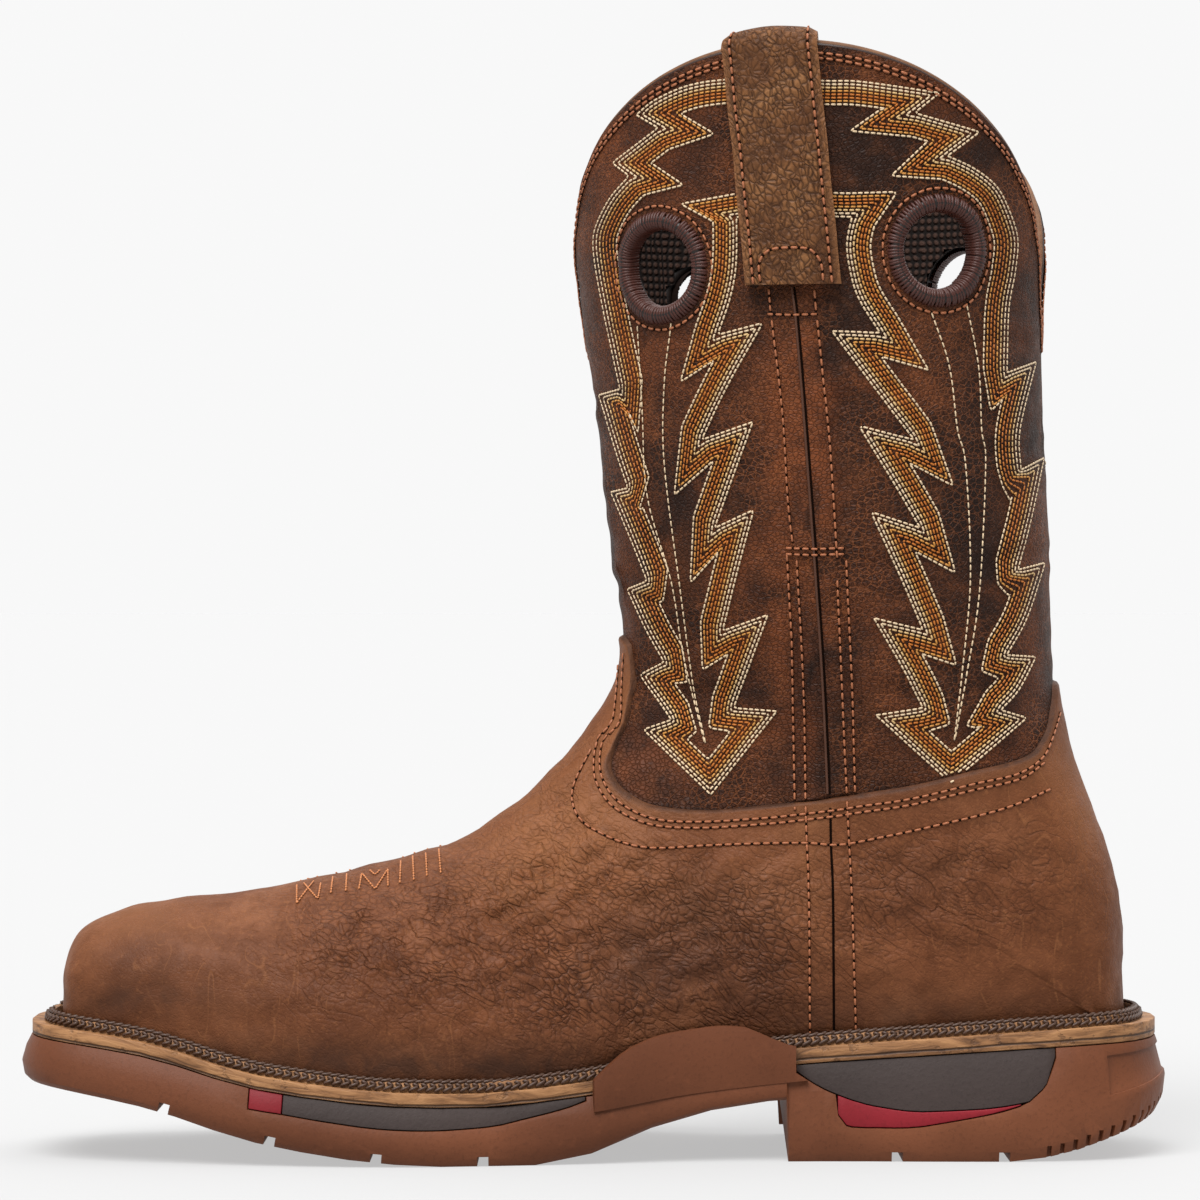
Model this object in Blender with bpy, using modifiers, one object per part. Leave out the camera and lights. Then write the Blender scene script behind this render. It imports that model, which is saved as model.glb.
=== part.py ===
"""Western work boot for the right foot, empty and standing on its sole.

Frame: metres, +Z up, floor at z = 0. The toe points to -X, the heel to +X, the medial side
(the big toe side) to -Y and the lateral side to +Y. The origin is on the floor, in the
middle of the heel.

The upper is a loft. Each section is a plane through a front point F on the boot's front
line and a back point B on its sole line or back line. Sections stand upright at the toe,
lean back over the instep and lie level in the shaft. Below the heel seat a section is an
arch that is open at the sole, above it a closed loop.
"""

import math

import bmesh
import bpy
import numpy as np
from mathutils import Matrix, Vector

# Driving dimensions in metres
LENGTH = 0.315
ORIGIN_SHARE = 0.7365
BALL_WIDTH = 0.112
HEEL_WIDTH = 0.078
SHAFT_WIDTH = 0.112
SHAFT_GIRTH = 3.3
ANKLE_HEIGHT = 0.150
SHAFT_HEIGHT = 0.1475
COLLAR_DIP = 0.0745
WALL = 0.0022
OVERLAY = 0.0015
SEAM_STRIP = 0.0008
STRIP_STOP = 0.0020

HEEL_HEIGHT = 0.0322
FOREFOOT_THICKNESS = 0.0155
TOE_SPRING = 0.0215
ARCH_CLEARANCE = 0.0167
HEEL_BEVEL = 0.0147
SOLE_FLARE = 0.0028
WELT_REACH = 0.0088
WELT_THICKNESS = 0.0036
WELT_LEDGE = 0.0040
WELT_RIB = 0.0028
WELT_RIB_WIDTH = 0.0016
WELT_RIB_SLOPE = 0.0006
WELT_DRAWN_IN = ((0.478, 0.500), (0.690, 0.712))
UPPER_SPREAD = 0.0045
INSOLE_THICKNESS = 0.0035

WRAP_HEIGHT = 0.0088
WRAP_THICKNESS = 0.0026
WRAP_INSET = 0.0002
INLAY_DEPTH = 0.0030
INLAY_RECESS = 0.0004
FOREFOOT_INLAY = 0.0058
HEEL_INLAY = 0.0149
RED_WEDGE = 0.0075
BACK_PANEL_DEPTH = 0.0008

TREAD_PITCH = 0.0145
TREAD_WIDTH = 0.0030
TREAD_DEPTH = 0.0026
TREAD_START = (0.0825, 0.7140)
TREAD_COUNT = (9, 4)
TREAD_REACH = (0.62, 1.30)
TREAD_SPINE = 0.012
RIB_PITCH = 0.0036
RIB_WIDTH = 0.0013
RIB_REACH = 0.0066
RIB_HEIGHT = 0.0062
RIB_START = 0.885

HOLE_DIAMETER = 0.0222
STRAP_WIDTH = 0.0250
STRAP_THICKNESS = 0.0034
STRAP_OUTSIDE = 0.0610
STRAP_INSIDE = 0.0480

GAP = 0.0003
STRAP_GAP = 0.0006
INSOLE_CLEARANCE = 0.0036

SHAFT_TWIST = math.radians(8.8)
SHAFT_LEAN = math.radians(3.6)
SHAFT_AXIS = 0.70
SHAFT_START = 0.60

# Outsole outline from toe to heel: x is a share of LENGTH, the medial and lateral half
# widths are shares of BALL_WIDTH in front and of HEEL_WIDTH behind
OUTLINE = (
    # x, medial, lateral
    (0.000, 0.100, 0.045),
    (0.004, 0.190, 0.135),
    (0.016, 0.270, 0.215),
    (0.040, 0.330, 0.280),
    (0.080, 0.375, 0.335),
    (0.140, 0.418, 0.398),
    (0.210, 0.452, 0.462),
    (0.290, 0.474, 0.510),
    (0.370, 0.465, 0.532),
    (0.450, 0.425, 0.517),
    (0.550, 0.405, 0.495),
    (0.650, 0.442, 0.497),
    (0.740, 0.483, 0.512),
    (0.820, 0.496, 0.513),
    (0.890, 0.490, 0.503),
    (0.940, 0.448, 0.460),
    (0.972, 0.368, 0.380),
    (0.992, 0.230, 0.242),
    (1.000, 0.075, 0.085),
)

# Underside: rise over the floor against x as a share of LENGTH
TOE_CURVE = ((0.0, 1.0), (0.06, 0.86), (0.12, 0.69), (0.206, 0.31), (0.264, 0.15), (0.32, 0.04), (0.37, 0.0))
ARCH_CURVE = ((0.487, 0.0), (0.492, 0.11), (0.52, 0.36), (0.562, 0.65), (0.60, 0.84), (0.63, 0.95), (0.6650, 1.0))
BEVEL_CURVE = ((0.864, 0.0), (0.90, 0.12), (0.93, 0.31), (0.96, 0.54), (0.985, 0.78), (1.0, 1.0))
BREAST = (0.6650, 0.6668)

# Seat: thickness in front as a share of FOREFOOT_THICKNESS, then the climb to the heel
THICKNESS_CURVE = ((0.0, 0.775), (0.106, 0.86), (0.20, 0.90), (0.30, 0.97), (0.375, 1.0))
SEAT_CURVE = ((0.42, 0.0), (0.496, 0.16), (0.584, 0.44), (0.672, 0.62), (0.80, 0.79), (0.90, 0.91), (1.0, 1.0))

# Side of the outsole: height as a share from the underside up, inset as a share of SOLE_FLARE
SIDE_CURVE = ((0.0, 0.75), (0.10, 0.22), (0.38, 0.0), (0.72, 0.40), (1.0, 1.0))

# How far the foot of the upper stands in from the welt's edge, as a share of WELT_REACH
REACH_CURVE = ((0.0, 1.0), (0.10, 0.95), (0.30, 0.80), (0.45, 0.82), (0.60, 0.90), (0.75, 0.92), (1.0, 1.0))
# How far the upper swells over its foot within the welt's height, as a share of UPPER_SPREAD
SPREAD_CURVE = ((0.0, 0.55), (0.20, 0.62), (0.40, 0.80), (0.55, 1.0), (0.75, 1.0), (0.90, 1.0), (0.96, 0.90), (1.0, 0.60))

# Arch wrap and inlays: height as a share of its named size against x as a share of LENGTH
WRAP_CURVE = ((0.500, 0.02), (0.512, 0.38), (0.532, 0.80), (0.560, 1.0), (0.600, 1.0), (0.628, 0.86),
              (0.652, 0.42), (0.672, 0.10), (0.690, 0.02))
FOREFOOT_INLAY_CURVE = ((0.2335, 0.86), (0.27, 0.92), (0.344, 1.0), (0.40, 0.88), (0.442, 0.62), (0.480, 0.34),
                        (0.494, 0.16))
RED_CHIP_CURVE = ((0.2045, 0.90), (0.2325, 0.86))
HEEL_INLAY_CURVE = ((0.674, 0.10), (0.690, 0.36), (0.705, 0.54), (0.740, 0.82), (0.784, 0.98), (0.832, 1.0),
                    (0.872, 0.93), (0.889, 0.62), (0.897, 0.16))
RED_WEDGE_CURVE = ((0.709, 0.70), (0.716, 0.98), (0.740, 0.78), (0.784, 0.52), (0.832, 0.26), (0.866, 0.08))
WEDGE_RUN_OUT = (0.002, 0.004)
# Bare panel at the back of the heel: first x, then its low and high edge up the side
BACK_PANEL = (0.944, 0.46, 0.88)

# Upper: one row for each section. F x and B run along LENGTH and along the upper's own
# foot line, heights h are shares of ANKLE_HEIGHT up to 1 and of SHAFT_HEIGHT above,
# widths are shares of the ball's width in the foot and of the shaft's width above it.
# widest: where on the way from B to F the section is widest. round: exponent of the
# curve over the top. back, heel: two exponents of the curve round B. ridge: side shift of F.
SECTIONS = (
    # F x,    F h,   B x,    B h,   medial, lateral, widest, round, back, heel, ridge
    (0.0356, 0.333, 0.000, None, 0.000, 0.000, 0.36, 2.40, 1.00, 2.1, -0.028),
    (0.0400, 0.375, 0.005, None, 0.000, 0.000, 0.36, 2.40, 1.00, 2.1, -0.029),
    (0.0514, 0.408, 0.018, None, 0.000, 0.000, 0.36, 2.40, 1.00, 2.1, -0.030),
    (0.0743, 0.436, 0.049, None, 0.000, 0.000, 0.35, 2.40, 1.00, 2.1, -0.034),
    (0.1110, 0.457, 0.094, None, 0.000, 0.000, 0.33, 2.36, 1.00, 2.1, -0.038),
    (0.1746, 0.472, 0.166, None, 0.300, 0.300, 0.31, 2.28, 1.00, 2.1, -0.042),
    (0.2444, 0.496, 0.252, None, 0.415, 0.440, 0.29, 2.16, 1.00, 2.1, -0.044),
    (0.3175, 0.533, 0.341, None, 0.420, 0.468, 0.27, 2.05, 1.00, 2.1, -0.042),
    (0.3780, 0.569, 0.430, None, 0.402, 0.450, 0.25, 1.95, 1.00, 2.1, -0.036),
    (0.4222, 0.627, 0.523, None, 0.358, 0.400, 0.26, 1.90, 1.00, 2.1, -0.026),
    (0.4570, 0.690, 0.622, None, 0.328, 0.362, 0.29, 1.90, 1.00, 2.1, -0.016),
    (0.4810, 0.745, 0.725, None, 0.318, 0.338, 0.33, 1.90, 1.00, 2.1, -0.010),
    (0.4965, 0.788, 0.828, None, 0.322, 0.332, 0.38, 1.92, 1.00, 2.1, -0.005),
    (0.5086, 0.825, 0.911, None, 0.316, 0.324, 0.42, 1.95, 1.30, 2.2, 0.000),
    (0.5160, 0.859, 0.966, None, 0.314, 0.320, 0.45, 1.97, 2.20, 2.8, 0.000),
    (0.5190, 0.880, 1.000, None, 0.313, 0.318, 0.46, 2.00, 2.50, 3.0, 0.000),
    (0.5210, 0.900, 0.9625, 0.313, 0.314, 0.318, 0.47, 2.00, 2.50, 3.0, 0.000),
    (0.5220, 0.923, 0.9648, 0.373, 0.315, 0.318, 0.47, 2.00, 2.50, 3.0, 0.000),
    (0.5210, 0.947, 0.9620, 0.440, 0.318, 0.320, 0.48, 2.02, 2.50, 3.0, 0.000),
    (0.5200, 0.973, 0.9556, 0.507, 0.324, 0.325, 0.48, 2.04, 2.40, 2.9, 0.000),
    (0.5187, 1.005, 0.9460, 0.580, 0.332, 0.332, 0.49, 2.05, 2.35, 2.7, 0.000),
    (0.5168, 1.041, 0.9327, 0.657, 0.343, 0.343, 0.50, 2.06, 2.30, 2.6, 0.000),
    (0.5140, 1.088, 0.9200, 0.733, 0.358, 0.358, 0.50, 2.08, 2.25, 2.5, 0.000),
    (0.5120, 1.142, 0.9105, 0.827, 0.375, 0.375, 0.50, 2.08, 2.20, 2.4, 0.000),
    (0.5086, 1.203, 0.9057, 0.933, 0.395, 0.395, 0.50, 2.10, 2.10, 2.3, 0.000),
    (0.5050, 1.285, 0.9013, 1.068, 0.416, 0.416, 0.50, 2.10, 2.10, 2.2, 0.000),
    (0.5006, 1.380, 0.8978, 1.217, 0.437, 0.437, 0.50, 2.12, 2.10, 2.1, 0.000),
    (0.4930, 1.488, 0.8946, 1.373, 0.458, 0.458, 0.50, 2.12, 2.10, 2.1, 0.000),
    (0.4857, 1.610, 0.8940, 1.556, 0.478, 0.478, 0.50, 2.12, 2.10, 2.1, 0.000),
    (0.4790, 1.760, 0.9030, 1.760, 0.496, 0.496, 0.50, 2.12, 2.10, 2.1, 0.000),
    (0.4746, 2.050, 0.9110, 2.050, 0.512, 0.512, 0.50, 2.12, 2.10, 2.1, 0.000),
)
HEEL_SEAT_ROW = 15
SHAFT_ROW = 26
SEAM_SHIFT = 0.045
SEAM_SHIFT_ROWS = ((9.0, 15.0), (17.0, 27.0))
# Between these rows the wall round the heel keeps the plan shape of its foot line
HEEL_SHAPE_IN = (8.0, 12.0)
HEEL_SHAPE_OUT = (15.5, 22.0)
HEEL_SWELL = 2.1
LEAST_SPREAD = 0.4
COLLAR_ROUNDING = 0.0005
LAST_ROW = len(SECTIONS) - 1

# Edge of the foot leather over the shaft: height as a share of ANKLE_HEIGHT against the
# way round from the back, 0, to the front, 0.5
TOPLINE = (
    (0.000, 0.863), (0.020, 0.857), (0.0375, 0.820), (0.0625, 0.763), (0.080, 0.734), (0.105, 0.716),
    (0.140, 0.700), (0.190, 0.672), (0.250, 0.651), (0.275, 0.639), (0.3075, 0.631), (0.3375, 0.637),
    (0.375, 0.663), (0.405, 0.696), (0.4225, 0.726), (0.434, 0.768), (0.446, 0.826), (0.460, 0.890),
    (0.466, 0.926), (0.482, 0.942), (0.500, 0.945),
)
# Columns round one side of the upper, from the back to the front
COLUMNS = (
    0.0, 0.020, 0.040, 0.0625, 0.085, 0.115, 0.150, 0.190, 0.2305, 0.2320, 0.2680, 0.2695, 0.3075, 0.3375,
    0.360, 0.382, 0.405, 0.4225, 0.434, 0.446, 0.460, 0.466, 0.482, 0.5,
)
FOOT_ROWS = (0.0, 0.5, 1.0, 2.0, 3.0, 4.0, 5.0, 6.0, 7.0, 8.0, 9.0, 10.0, 11.0, 12.0, 13.0, 14.0, 14.5, 14.8, 15.0)
STRAIGHT_ROWS = 8
ANKLE_STEPS = 4
SHAFT_STEPS = 11
ROWS_BELOW_TOPLINE = 1.5
STEP_RISE = 0.0006
SHAFT_CROWDING = 1.15
SINK_END = 0.6
SEAM_COLUMNS = (0.2320, 0.2680)
HOLE_SPOTS = ((0.1385, 0.0545), (0.3490, 0.0580))
CURVE_STEPS = 40


def clear_scene():
    for item in list(bpy.data.objects):
        bpy.data.objects.remove(item, do_unlink=True)


def collection_named(name, hidden=False):
    group = bpy.data.collections.new(name)
    bpy.context.scene.collection.children.link(group)
    group.hide_render = hidden
    return group


def material_named(name, colour, roughness, metallic=0.0):
    material = bpy.data.materials.new(name)
    material.use_nodes = True
    shader = material.node_tree.nodes["Principled BSDF"]
    shader.inputs["Base Color"].default_value = (*colour, 1.0)
    shader.inputs["Roughness"].default_value = roughness
    shader.inputs["Metallic"].default_value = metallic
    return material


def smooth_step(value, start, end):
    share = np.clip((value - start) / (end - start), 0.0, 1.0)
    return share * share * (3.0 - 2.0 * share)


def smooth_curve(table, places):
    """A curve through a table of (place, value) that doesn't overshoot, held level past its ends."""
    xs, ys = np.array(table, float).T
    steps = np.diff(xs)
    slopes = np.diff(ys) / steps
    tangents = np.zeros(len(xs))
    same_way = slopes[:-1] * slopes[1:] > 0
    sums = np.where(same_way, slopes[:-1] + slopes[1:], 1.0)
    tangents[1:-1] = np.where(same_way, 2.0 * slopes[:-1] * slopes[1:] / sums, 0.0)
    tangents[0], tangents[-1] = slopes[0], slopes[-1]
    places = np.clip(places, xs[0], xs[-1])
    cell = np.clip(np.searchsorted(xs, places, side="right") - 1, 0, len(xs) - 2)
    t = (places - xs[cell]) / steps[cell]
    return (
        ys[cell] * (1 + 2 * t) * (1 - t) ** 2
        + tangents[cell] * steps[cell] * t * (1 - t) ** 2
        + ys[cell + 1] * t * t * (3 - 2 * t)
        + tangents[cell + 1] * steps[cell] * t * t * (t - 1)
    )


def spline_rows(rows, places):
    """A Catmull-Rom spline through evenly spaced rows of numbers."""
    rows = np.array(rows, float)
    ends = np.vstack([2 * rows[0] - rows[1], rows, 2 * rows[-1] - rows[-2]])
    cell = np.clip(np.floor(places).astype(int), 0, len(rows) - 2)
    t = (places - cell)[:, None]
    p0, p1, p2, p3 = ends[cell], ends[cell + 1], ends[cell + 2], ends[cell + 3]
    return 0.5 * (
        2 * p1 + (p2 - p0) * t + (2 * p0 - 5 * p1 + 4 * p2 - p3) * t**2 + (3 * p1 - p0 - 3 * p2 + p3) * t**3
    )


def world_x(share):
    return LENGTH * (np.asarray(share, float) - ORIGIN_SHARE)


def share_of_x(x):
    return np.asarray(x, float) / LENGTH + ORIGIN_SHARE


# Heights of the sole along the boot, from x in metres
def underside(x):
    share = share_of_x(x)
    height = TOE_SPRING * smooth_curve(TOE_CURVE, share)
    height = height + HEEL_BEVEL * smooth_curve(BEVEL_CURVE, share)
    arch = ARCH_CLEARANCE * smooth_curve(ARCH_CURVE, share)
    middle = 0.5 * (BREAST[0] + BREAST[1])
    return height + np.where(share < middle, arch, 0.0)


def seat(x):
    share = share_of_x(x)
    toe = TOE_SPRING * smooth_curve(TOE_CURVE, share)
    front = FOREFOOT_THICKNESS * smooth_curve(THICKNESS_CURVE, share)
    return toe + front + (HEEL_HEIGHT - FOREFOOT_THICKNESS) * smooth_curve(SEAT_CURVE, share)


def welt_top(x):
    heel_growth = 1.0 + 0.30 * smooth_curve(SEAT_CURVE, share_of_x(x))
    return seat(x) + GAP + WELT_THICKNESS * heel_growth


# Plan outline of the sole
def dense_outline():
    """Outline points and outward normals of both sides, from toe to heel."""
    places = np.arange(0.0, len(OUTLINE) - 1 + 1e-9, 1.0 / CURVE_STEPS)
    x_share, medial, lateral = spline_rows(OUTLINE, places).T
    rear = smooth_step(x_share, 0.45, 0.75)
    unit = BALL_WIDTH * (1 - rear) + HEEL_WIDTH * rear
    x = world_x(np.clip(x_share, 0.0, 1.0))
    sides = {}
    for side, half in (("medial", -medial * unit), ("lateral", lateral * unit)):
        along_x = np.gradient(x)
        along_y = np.gradient(half)
        size = np.hypot(along_x, along_y)
        turn = 1.0 if side == "medial" else -1.0
        sides[side] = np.column_stack([x, half, turn * along_y / size, -turn * along_x / size])
    return places, sides


PLACES, SIDES = dense_outline()


def stations():
    """Places along the outline: half steps of its table and both edges of the heel breast."""
    x_share = share_of_x(SIDES["medial"][:, 0])
    picked = list(np.arange(0.0, len(OUTLINE) - 1 + 1e-9, 0.5))
    picked += list(np.interp(BREAST, x_share, PLACES))
    return np.unique(np.round(picked, 5))


def rim(side, places):
    """Outline rows (x, y, normal x, normal y) of one side at places along its table."""
    return np.column_stack([np.interp(places, PLACES, SIDES[side][:, k]) for k in range(4)])


def rim_at_shares(side, shares):
    x_share = share_of_x(SIDES[side][:, 0])
    return rim(side, np.interp(shares, x_share, PLACES))


def inset_points(rows, inset):
    """Rim rows moved inwards along their normals."""
    return rows[:, :2] - rows[:, 2:] * np.asarray(inset, float).reshape(-1, 1)


def foot_inset(rows):
    share = share_of_x(rows[:, 0])
    return SOLE_FLARE + WELT_REACH * smooth_curve(REACH_CURVE, share)


def welt_hole_inset(rows):
    share = share_of_x(rows[:, 0])
    return foot_inset(rows) - UPPER_SPREAD * smooth_curve(SPREAD_CURVE, share) - GAP


def welt_edge_inset(rows):
    """The welt's edge, which draws in behind the arch wrap."""
    share = share_of_x(rows[:, 0])
    start, end = WELT_DRAWN_IN
    behind = smooth_step(share, *start) * (1 - smooth_step(share, *end))
    return SOLE_FLARE + (WRAP_INSET + WRAP_THICKNESS + GAP - SOLE_FLARE) * behind


def mesh_object(name, points, faces, group, material=None):
    mesh = bpy.data.meshes.new(name)
    mesh.from_pydata([tuple(map(float, p)) for p in points], [], faces)
    body = bpy.data.objects.new(name, mesh)
    group.objects.link(body)
    if material:
        mesh.materials.append(material)
    return body


def finish_mesh(body, sharp_degrees=35.0):
    """Merges doubled points, turns the faces outwards and shades round stretches smooth."""
    work = bmesh.new()
    work.from_mesh(body.data)
    bmesh.ops.remove_doubles(work, verts=work.verts, dist=1e-6)
    bmesh.ops.dissolve_degenerate(work, dist=1e-7, edges=work.edges)
    bmesh.ops.recalc_face_normals(work, faces=work.faces)
    work.to_mesh(body.data)
    work.free()
    body.data.shade_smooth()
    body.data.set_sharp_from_angle(angle=math.radians(sharp_degrees))


def ring_loft(name, rings, group, material, capped=True):
    """Lofts between closed rings. Each ring is the medial side from toe to heel, then the
    lateral side back. With caps each end is closed straight across, otherwise the last
    ring joins the first."""
    count = len(rings[0])
    half = count // 2
    points = np.vstack(rings)
    faces = []
    steps = len(rings) - 1 if capped else len(rings)
    for k in range(steps):
        low, high = k * count, ((k + 1) % len(rings)) * count
        for i in range(count):
            j = (i + 1) % count
            faces.append((low + i, low + j, high + j, high + i))
    if capped:
        for start in (0, (len(rings) - 1) * count):
            for i in range(half - 1):
                far = count - 1 - i
                faces.append((start + i, start + far, start + far - 1, start + i + 1))
    body = mesh_object(name, points, faces, group, material)
    finish_mesh(body)
    return body


def plan_ring(inset, height):
    """A closed ring round the sole. inset and height are functions of rim rows and of x."""
    places = stations()
    loops = []
    for side in ("medial", "lateral"):
        rows = rim(side, places)
        flat = inset_points(rows, inset(rows))
        loop = np.column_stack([flat, height(flat[:, 0])])
        loops.append(loop if side == "medial" else loop[::-1])
    return np.vstack(loops)


def edge_band(name, rows, low, high, outer, inner, group, material=None):
    """A strip along the edge of the sole with square ends. low, high: height at x in
    metres. outer, inner: inset of its two faces from the outline at each height."""
    corners = []
    for level, reach in ((low, outer), (high, outer), (high, inner), (low, inner)):
        height = level(rows[:, 0])
        corners.append(np.column_stack([inset_points(rows, reach(rows[:, 0], height)), height]))
    count = len(rows)
    points = np.vstack(corners)
    faces = []
    for k in range(4):
        this, following = k * count, ((k + 1) % 4) * count
        for i in range(count - 1):
            faces.append((this + i, this + i + 1, following + i + 1, following + i))
    faces.append((0, count, 2 * count, 3 * count))
    faces.append((count - 1, 4 * count - 1, 3 * count - 1, 2 * count - 1))
    body = mesh_object(name, points, faces, group, material)
    finish_mesh(body)
    return body


def boolean(body, cutter, operation):
    change = body.modifiers.new(cutter.name, "BOOLEAN")
    change.operation = operation
    change.object = cutter
    change.solver = "EXACT"


def as_cutter(body):
    body.hide_render = True
    body.display_type = "WIRE"
    return body


def box_mesh(work, centre, size, turn):
    """Adds a box to a bmesh: size along its own axes, turned, then placed."""
    made = bmesh.ops.create_cube(work, size=1.0)
    place = Matrix.Translation(centre) @ turn @ Matrix.Diagonal((*size, 1.0))
    bmesh.ops.transform(work, matrix=place, verts=made["verts"])


def boxes_object(name, boxes, group):
    work = bmesh.new()
    for centre, size, turn in boxes:
        box_mesh(work, centre, size, turn)
    mesh = bpy.data.meshes.new(name)
    work.to_mesh(mesh)
    work.free()
    body = bpy.data.objects.new(name, mesh)
    group.objects.link(body)
    return as_cutter(body)


# Outsole with heel, arch wrap, tread and the pockets of the inlays
def side_inset(x, height):
    share = (height - underside(x)) / (seat(x) - underside(x))
    return SOLE_FLARE * smooth_curve(SIDE_CURVE, share)


def inlay_floor(curve, size):
    return lambda x: seat(x) - size * smooth_curve(curve, share_of_x(x))


def wedge_floor(x):
    thickness = RED_WEDGE * smooth_curve(RED_WEDGE_CURVE, share_of_x(x))
    return inlay_floor(HEEL_INLAY_CURVE, HEEL_INLAY)(x) - thickness


WEDGE_START = (RED_WEDGE_CURVE[0][0] - WEDGE_RUN_OUT[0], 0.0)
WEDGE_END = (RED_WEDGE_CURVE[-1][0] + WEDGE_RUN_OUT[1], 0.0)
WEDGE_POCKET_CURVE = (WEDGE_START,) + RED_WEDGE_CURVE + (WEDGE_END,)
HEEL_POCKET_PLACES = tuple(sorted(HEEL_INLAY_CURVE + RED_WEDGE_CURVE + (WEDGE_START,)))


def heel_pocket_floor(x):
    """The floor of the grey insert, and that of the red wedge where there is one."""
    thickness = RED_WEDGE * smooth_curve(WEDGE_POCKET_CURVE, share_of_x(x))
    return inlay_floor(HEEL_INLAY_CURVE, HEEL_INLAY)(x) - thickness


def curve_shares(curve, step=0.012):
    first, last = curve[0][0], curve[-1][0]
    count = max(2, int(round((last - first) / step)) + 1)
    return np.unique(np.concatenate([np.linspace(first, last, count), [row[0] for row in curve]]))


def pocket(name, side, curve, floor, group):
    """Cutter for an inlay, open at the side of the sole and at its seat."""
    shares = curve_shares(curve)
    stretch = GAP / LENGTH
    shares = np.concatenate([[shares[0] - stretch], shares[1:-1], [shares[-1] + stretch]])
    return as_cutter(
        edge_band(
            name,
            rim_at_shares(side, shares),
            lambda x: floor(x) - GAP,
            lambda x: seat(x) + 2 * WELT_THICKNESS,
            lambda x, height: np.full(len(x), -2 * SOLE_FLARE),
            lambda x, height: np.full(len(x), SOLE_FLARE + INLAY_DEPTH + GAP),
            group,
        )
    )


def inlay(name, side, curve, floor, ceiling, group, material):
    return edge_band(
        name,
        rim_at_shares(side, curve_shares(curve)),
        floor,
        ceiling,
        lambda x, height: side_inset(x, height) + INLAY_RECESS,
        lambda x, height: np.full(len(x), SOLE_FLARE + INLAY_DEPTH),
        group,
        material,
    )


def wrap_band(side, group):
    """The rubber that climbs over the welt at the arch."""
    return as_cutter(
        edge_band(
            "wrap_" + side,
            rim_at_shares(side, curve_shares(WRAP_CURVE)),
            lambda x: seat(x) - 1.6 * WRAP_THICKNESS,
            lambda x: welt_top(x) + WRAP_HEIGHT * smooth_curve(WRAP_CURVE, share_of_x(x)),
            lambda x, height: np.full(len(x), WRAP_INSET),
            lambda x, height: np.full(len(x), WRAP_INSET + WRAP_THICKNESS),
            group,
        )
    )


def tread_cutter(group):
    """Cross grooves on both sides of a spine: every other pair reaches the sides of the sole."""
    boxes = []
    for start, count, width in zip(TREAD_START, TREAD_COUNT, (BALL_WIDTH, HEEL_WIDTH)):
        for number in range(count):
            x = world_x(start) + number * TREAD_PITCH
            reach = TREAD_REACH[number % 2] * width
            for turn in (-1, 1):
                boxes.append(tread_box(x, turn * 0.25 * (reach + TREAD_SPINE), 0.5 * (reach - TREAD_SPINE)))
    return boxes_object("tread_grooves", boxes, group)


def tread_box(x, y, width):
    slope = float((underside(x + 0.002) - underside(x - 0.002)) / 0.004)
    centre = Vector((float(x), y, float(underside(x)) - TREAD_DEPTH))
    return centre, (TREAD_WIDTH, width, 4 * TREAD_DEPTH), Matrix.Rotation(-math.atan(slope), 4, "Y")


def heel_path(first_share):
    """Rim rows round the back of the heel, medial side first."""
    start = np.interp(first_share, share_of_x(SIDES["medial"][:, 0]), PLACES)
    places = np.linspace(start, PLACES[-1], 12)
    return np.vstack([rim("medial", places), rim("lateral", places)[::-1]])


def rib_cutter(group):
    """Short upright grooves round the bevelled edge of the heel."""
    path = heel_path(RIB_START)
    lengths = np.concatenate([[0.0], np.cumsum(np.hypot(*np.diff(path[:, :2], axis=0).T))])
    count = int(lengths[-1] / RIB_PITCH)
    boxes = []
    for place in (np.arange(count) + 0.5) * lengths[-1] / count:
        x, y, nx, ny = (float(np.interp(place, lengths, path[:, k])) for k in range(4))
        turn = Matrix.Rotation(math.atan2(ny, nx), 4, "Z")
        boxes.append((Vector((x, y, float(underside(x)))), (RIB_REACH, RIB_WIDTH, RIB_HEIGHT), turn))
    return boxes_object("heel_ribs", boxes, group)


def back_panel_cutter(group):
    """Shallow bare panel round the back of the heel."""
    first, low, high = BACK_PANEL

    def level(share):
        return lambda x: underside(x) + share * (seat(x) - underside(x))

    return as_cutter(
        edge_band(
            "back_panel",
            heel_path(first),
            level(low),
            level(high),
            lambda x, height: np.full(len(x), -2 * SOLE_FLARE),
            lambda x, height: side_inset(x, height) + BACK_PANEL_DEPTH,
            group,
        )
    )


def make_outsole(group, cutters, rubber):
    rings = []
    for share, flare in SIDE_CURVE:
        rings.append(
            plan_ring(
                lambda rows, inset=flare: np.full(len(rows), SOLE_FLARE * inset),
                lambda x, up=share: underside(x) + up * (seat(x) - underside(x)),
            )
        )
    body = ring_loft("outsole", rings, group, rubber)
    for side in ("medial", "lateral"):
        boolean(body, wrap_band(side, cutters), "UNION")
    for side in ("medial", "lateral"):
        chip_and_inlay = RED_CHIP_CURVE[:1] + FOREFOOT_INLAY_CURVE
        front_floor = inlay_floor(chip_and_inlay, FOREFOOT_INLAY)
        boolean(body, pocket("pocket_forefoot_" + side, side, chip_and_inlay, front_floor, cutters), "DIFFERENCE")
        boolean(body, pocket("pocket_heel_" + side, side, HEEL_POCKET_PLACES, heel_pocket_floor, cutters), "DIFFERENCE")
    boolean(body, back_panel_cutter(cutters), "DIFFERENCE")
    boolean(body, tread_cutter(cutters), "DIFFERENCE")
    boolean(body, rib_cutter(cutters), "DIFFERENCE")
    return body


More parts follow.
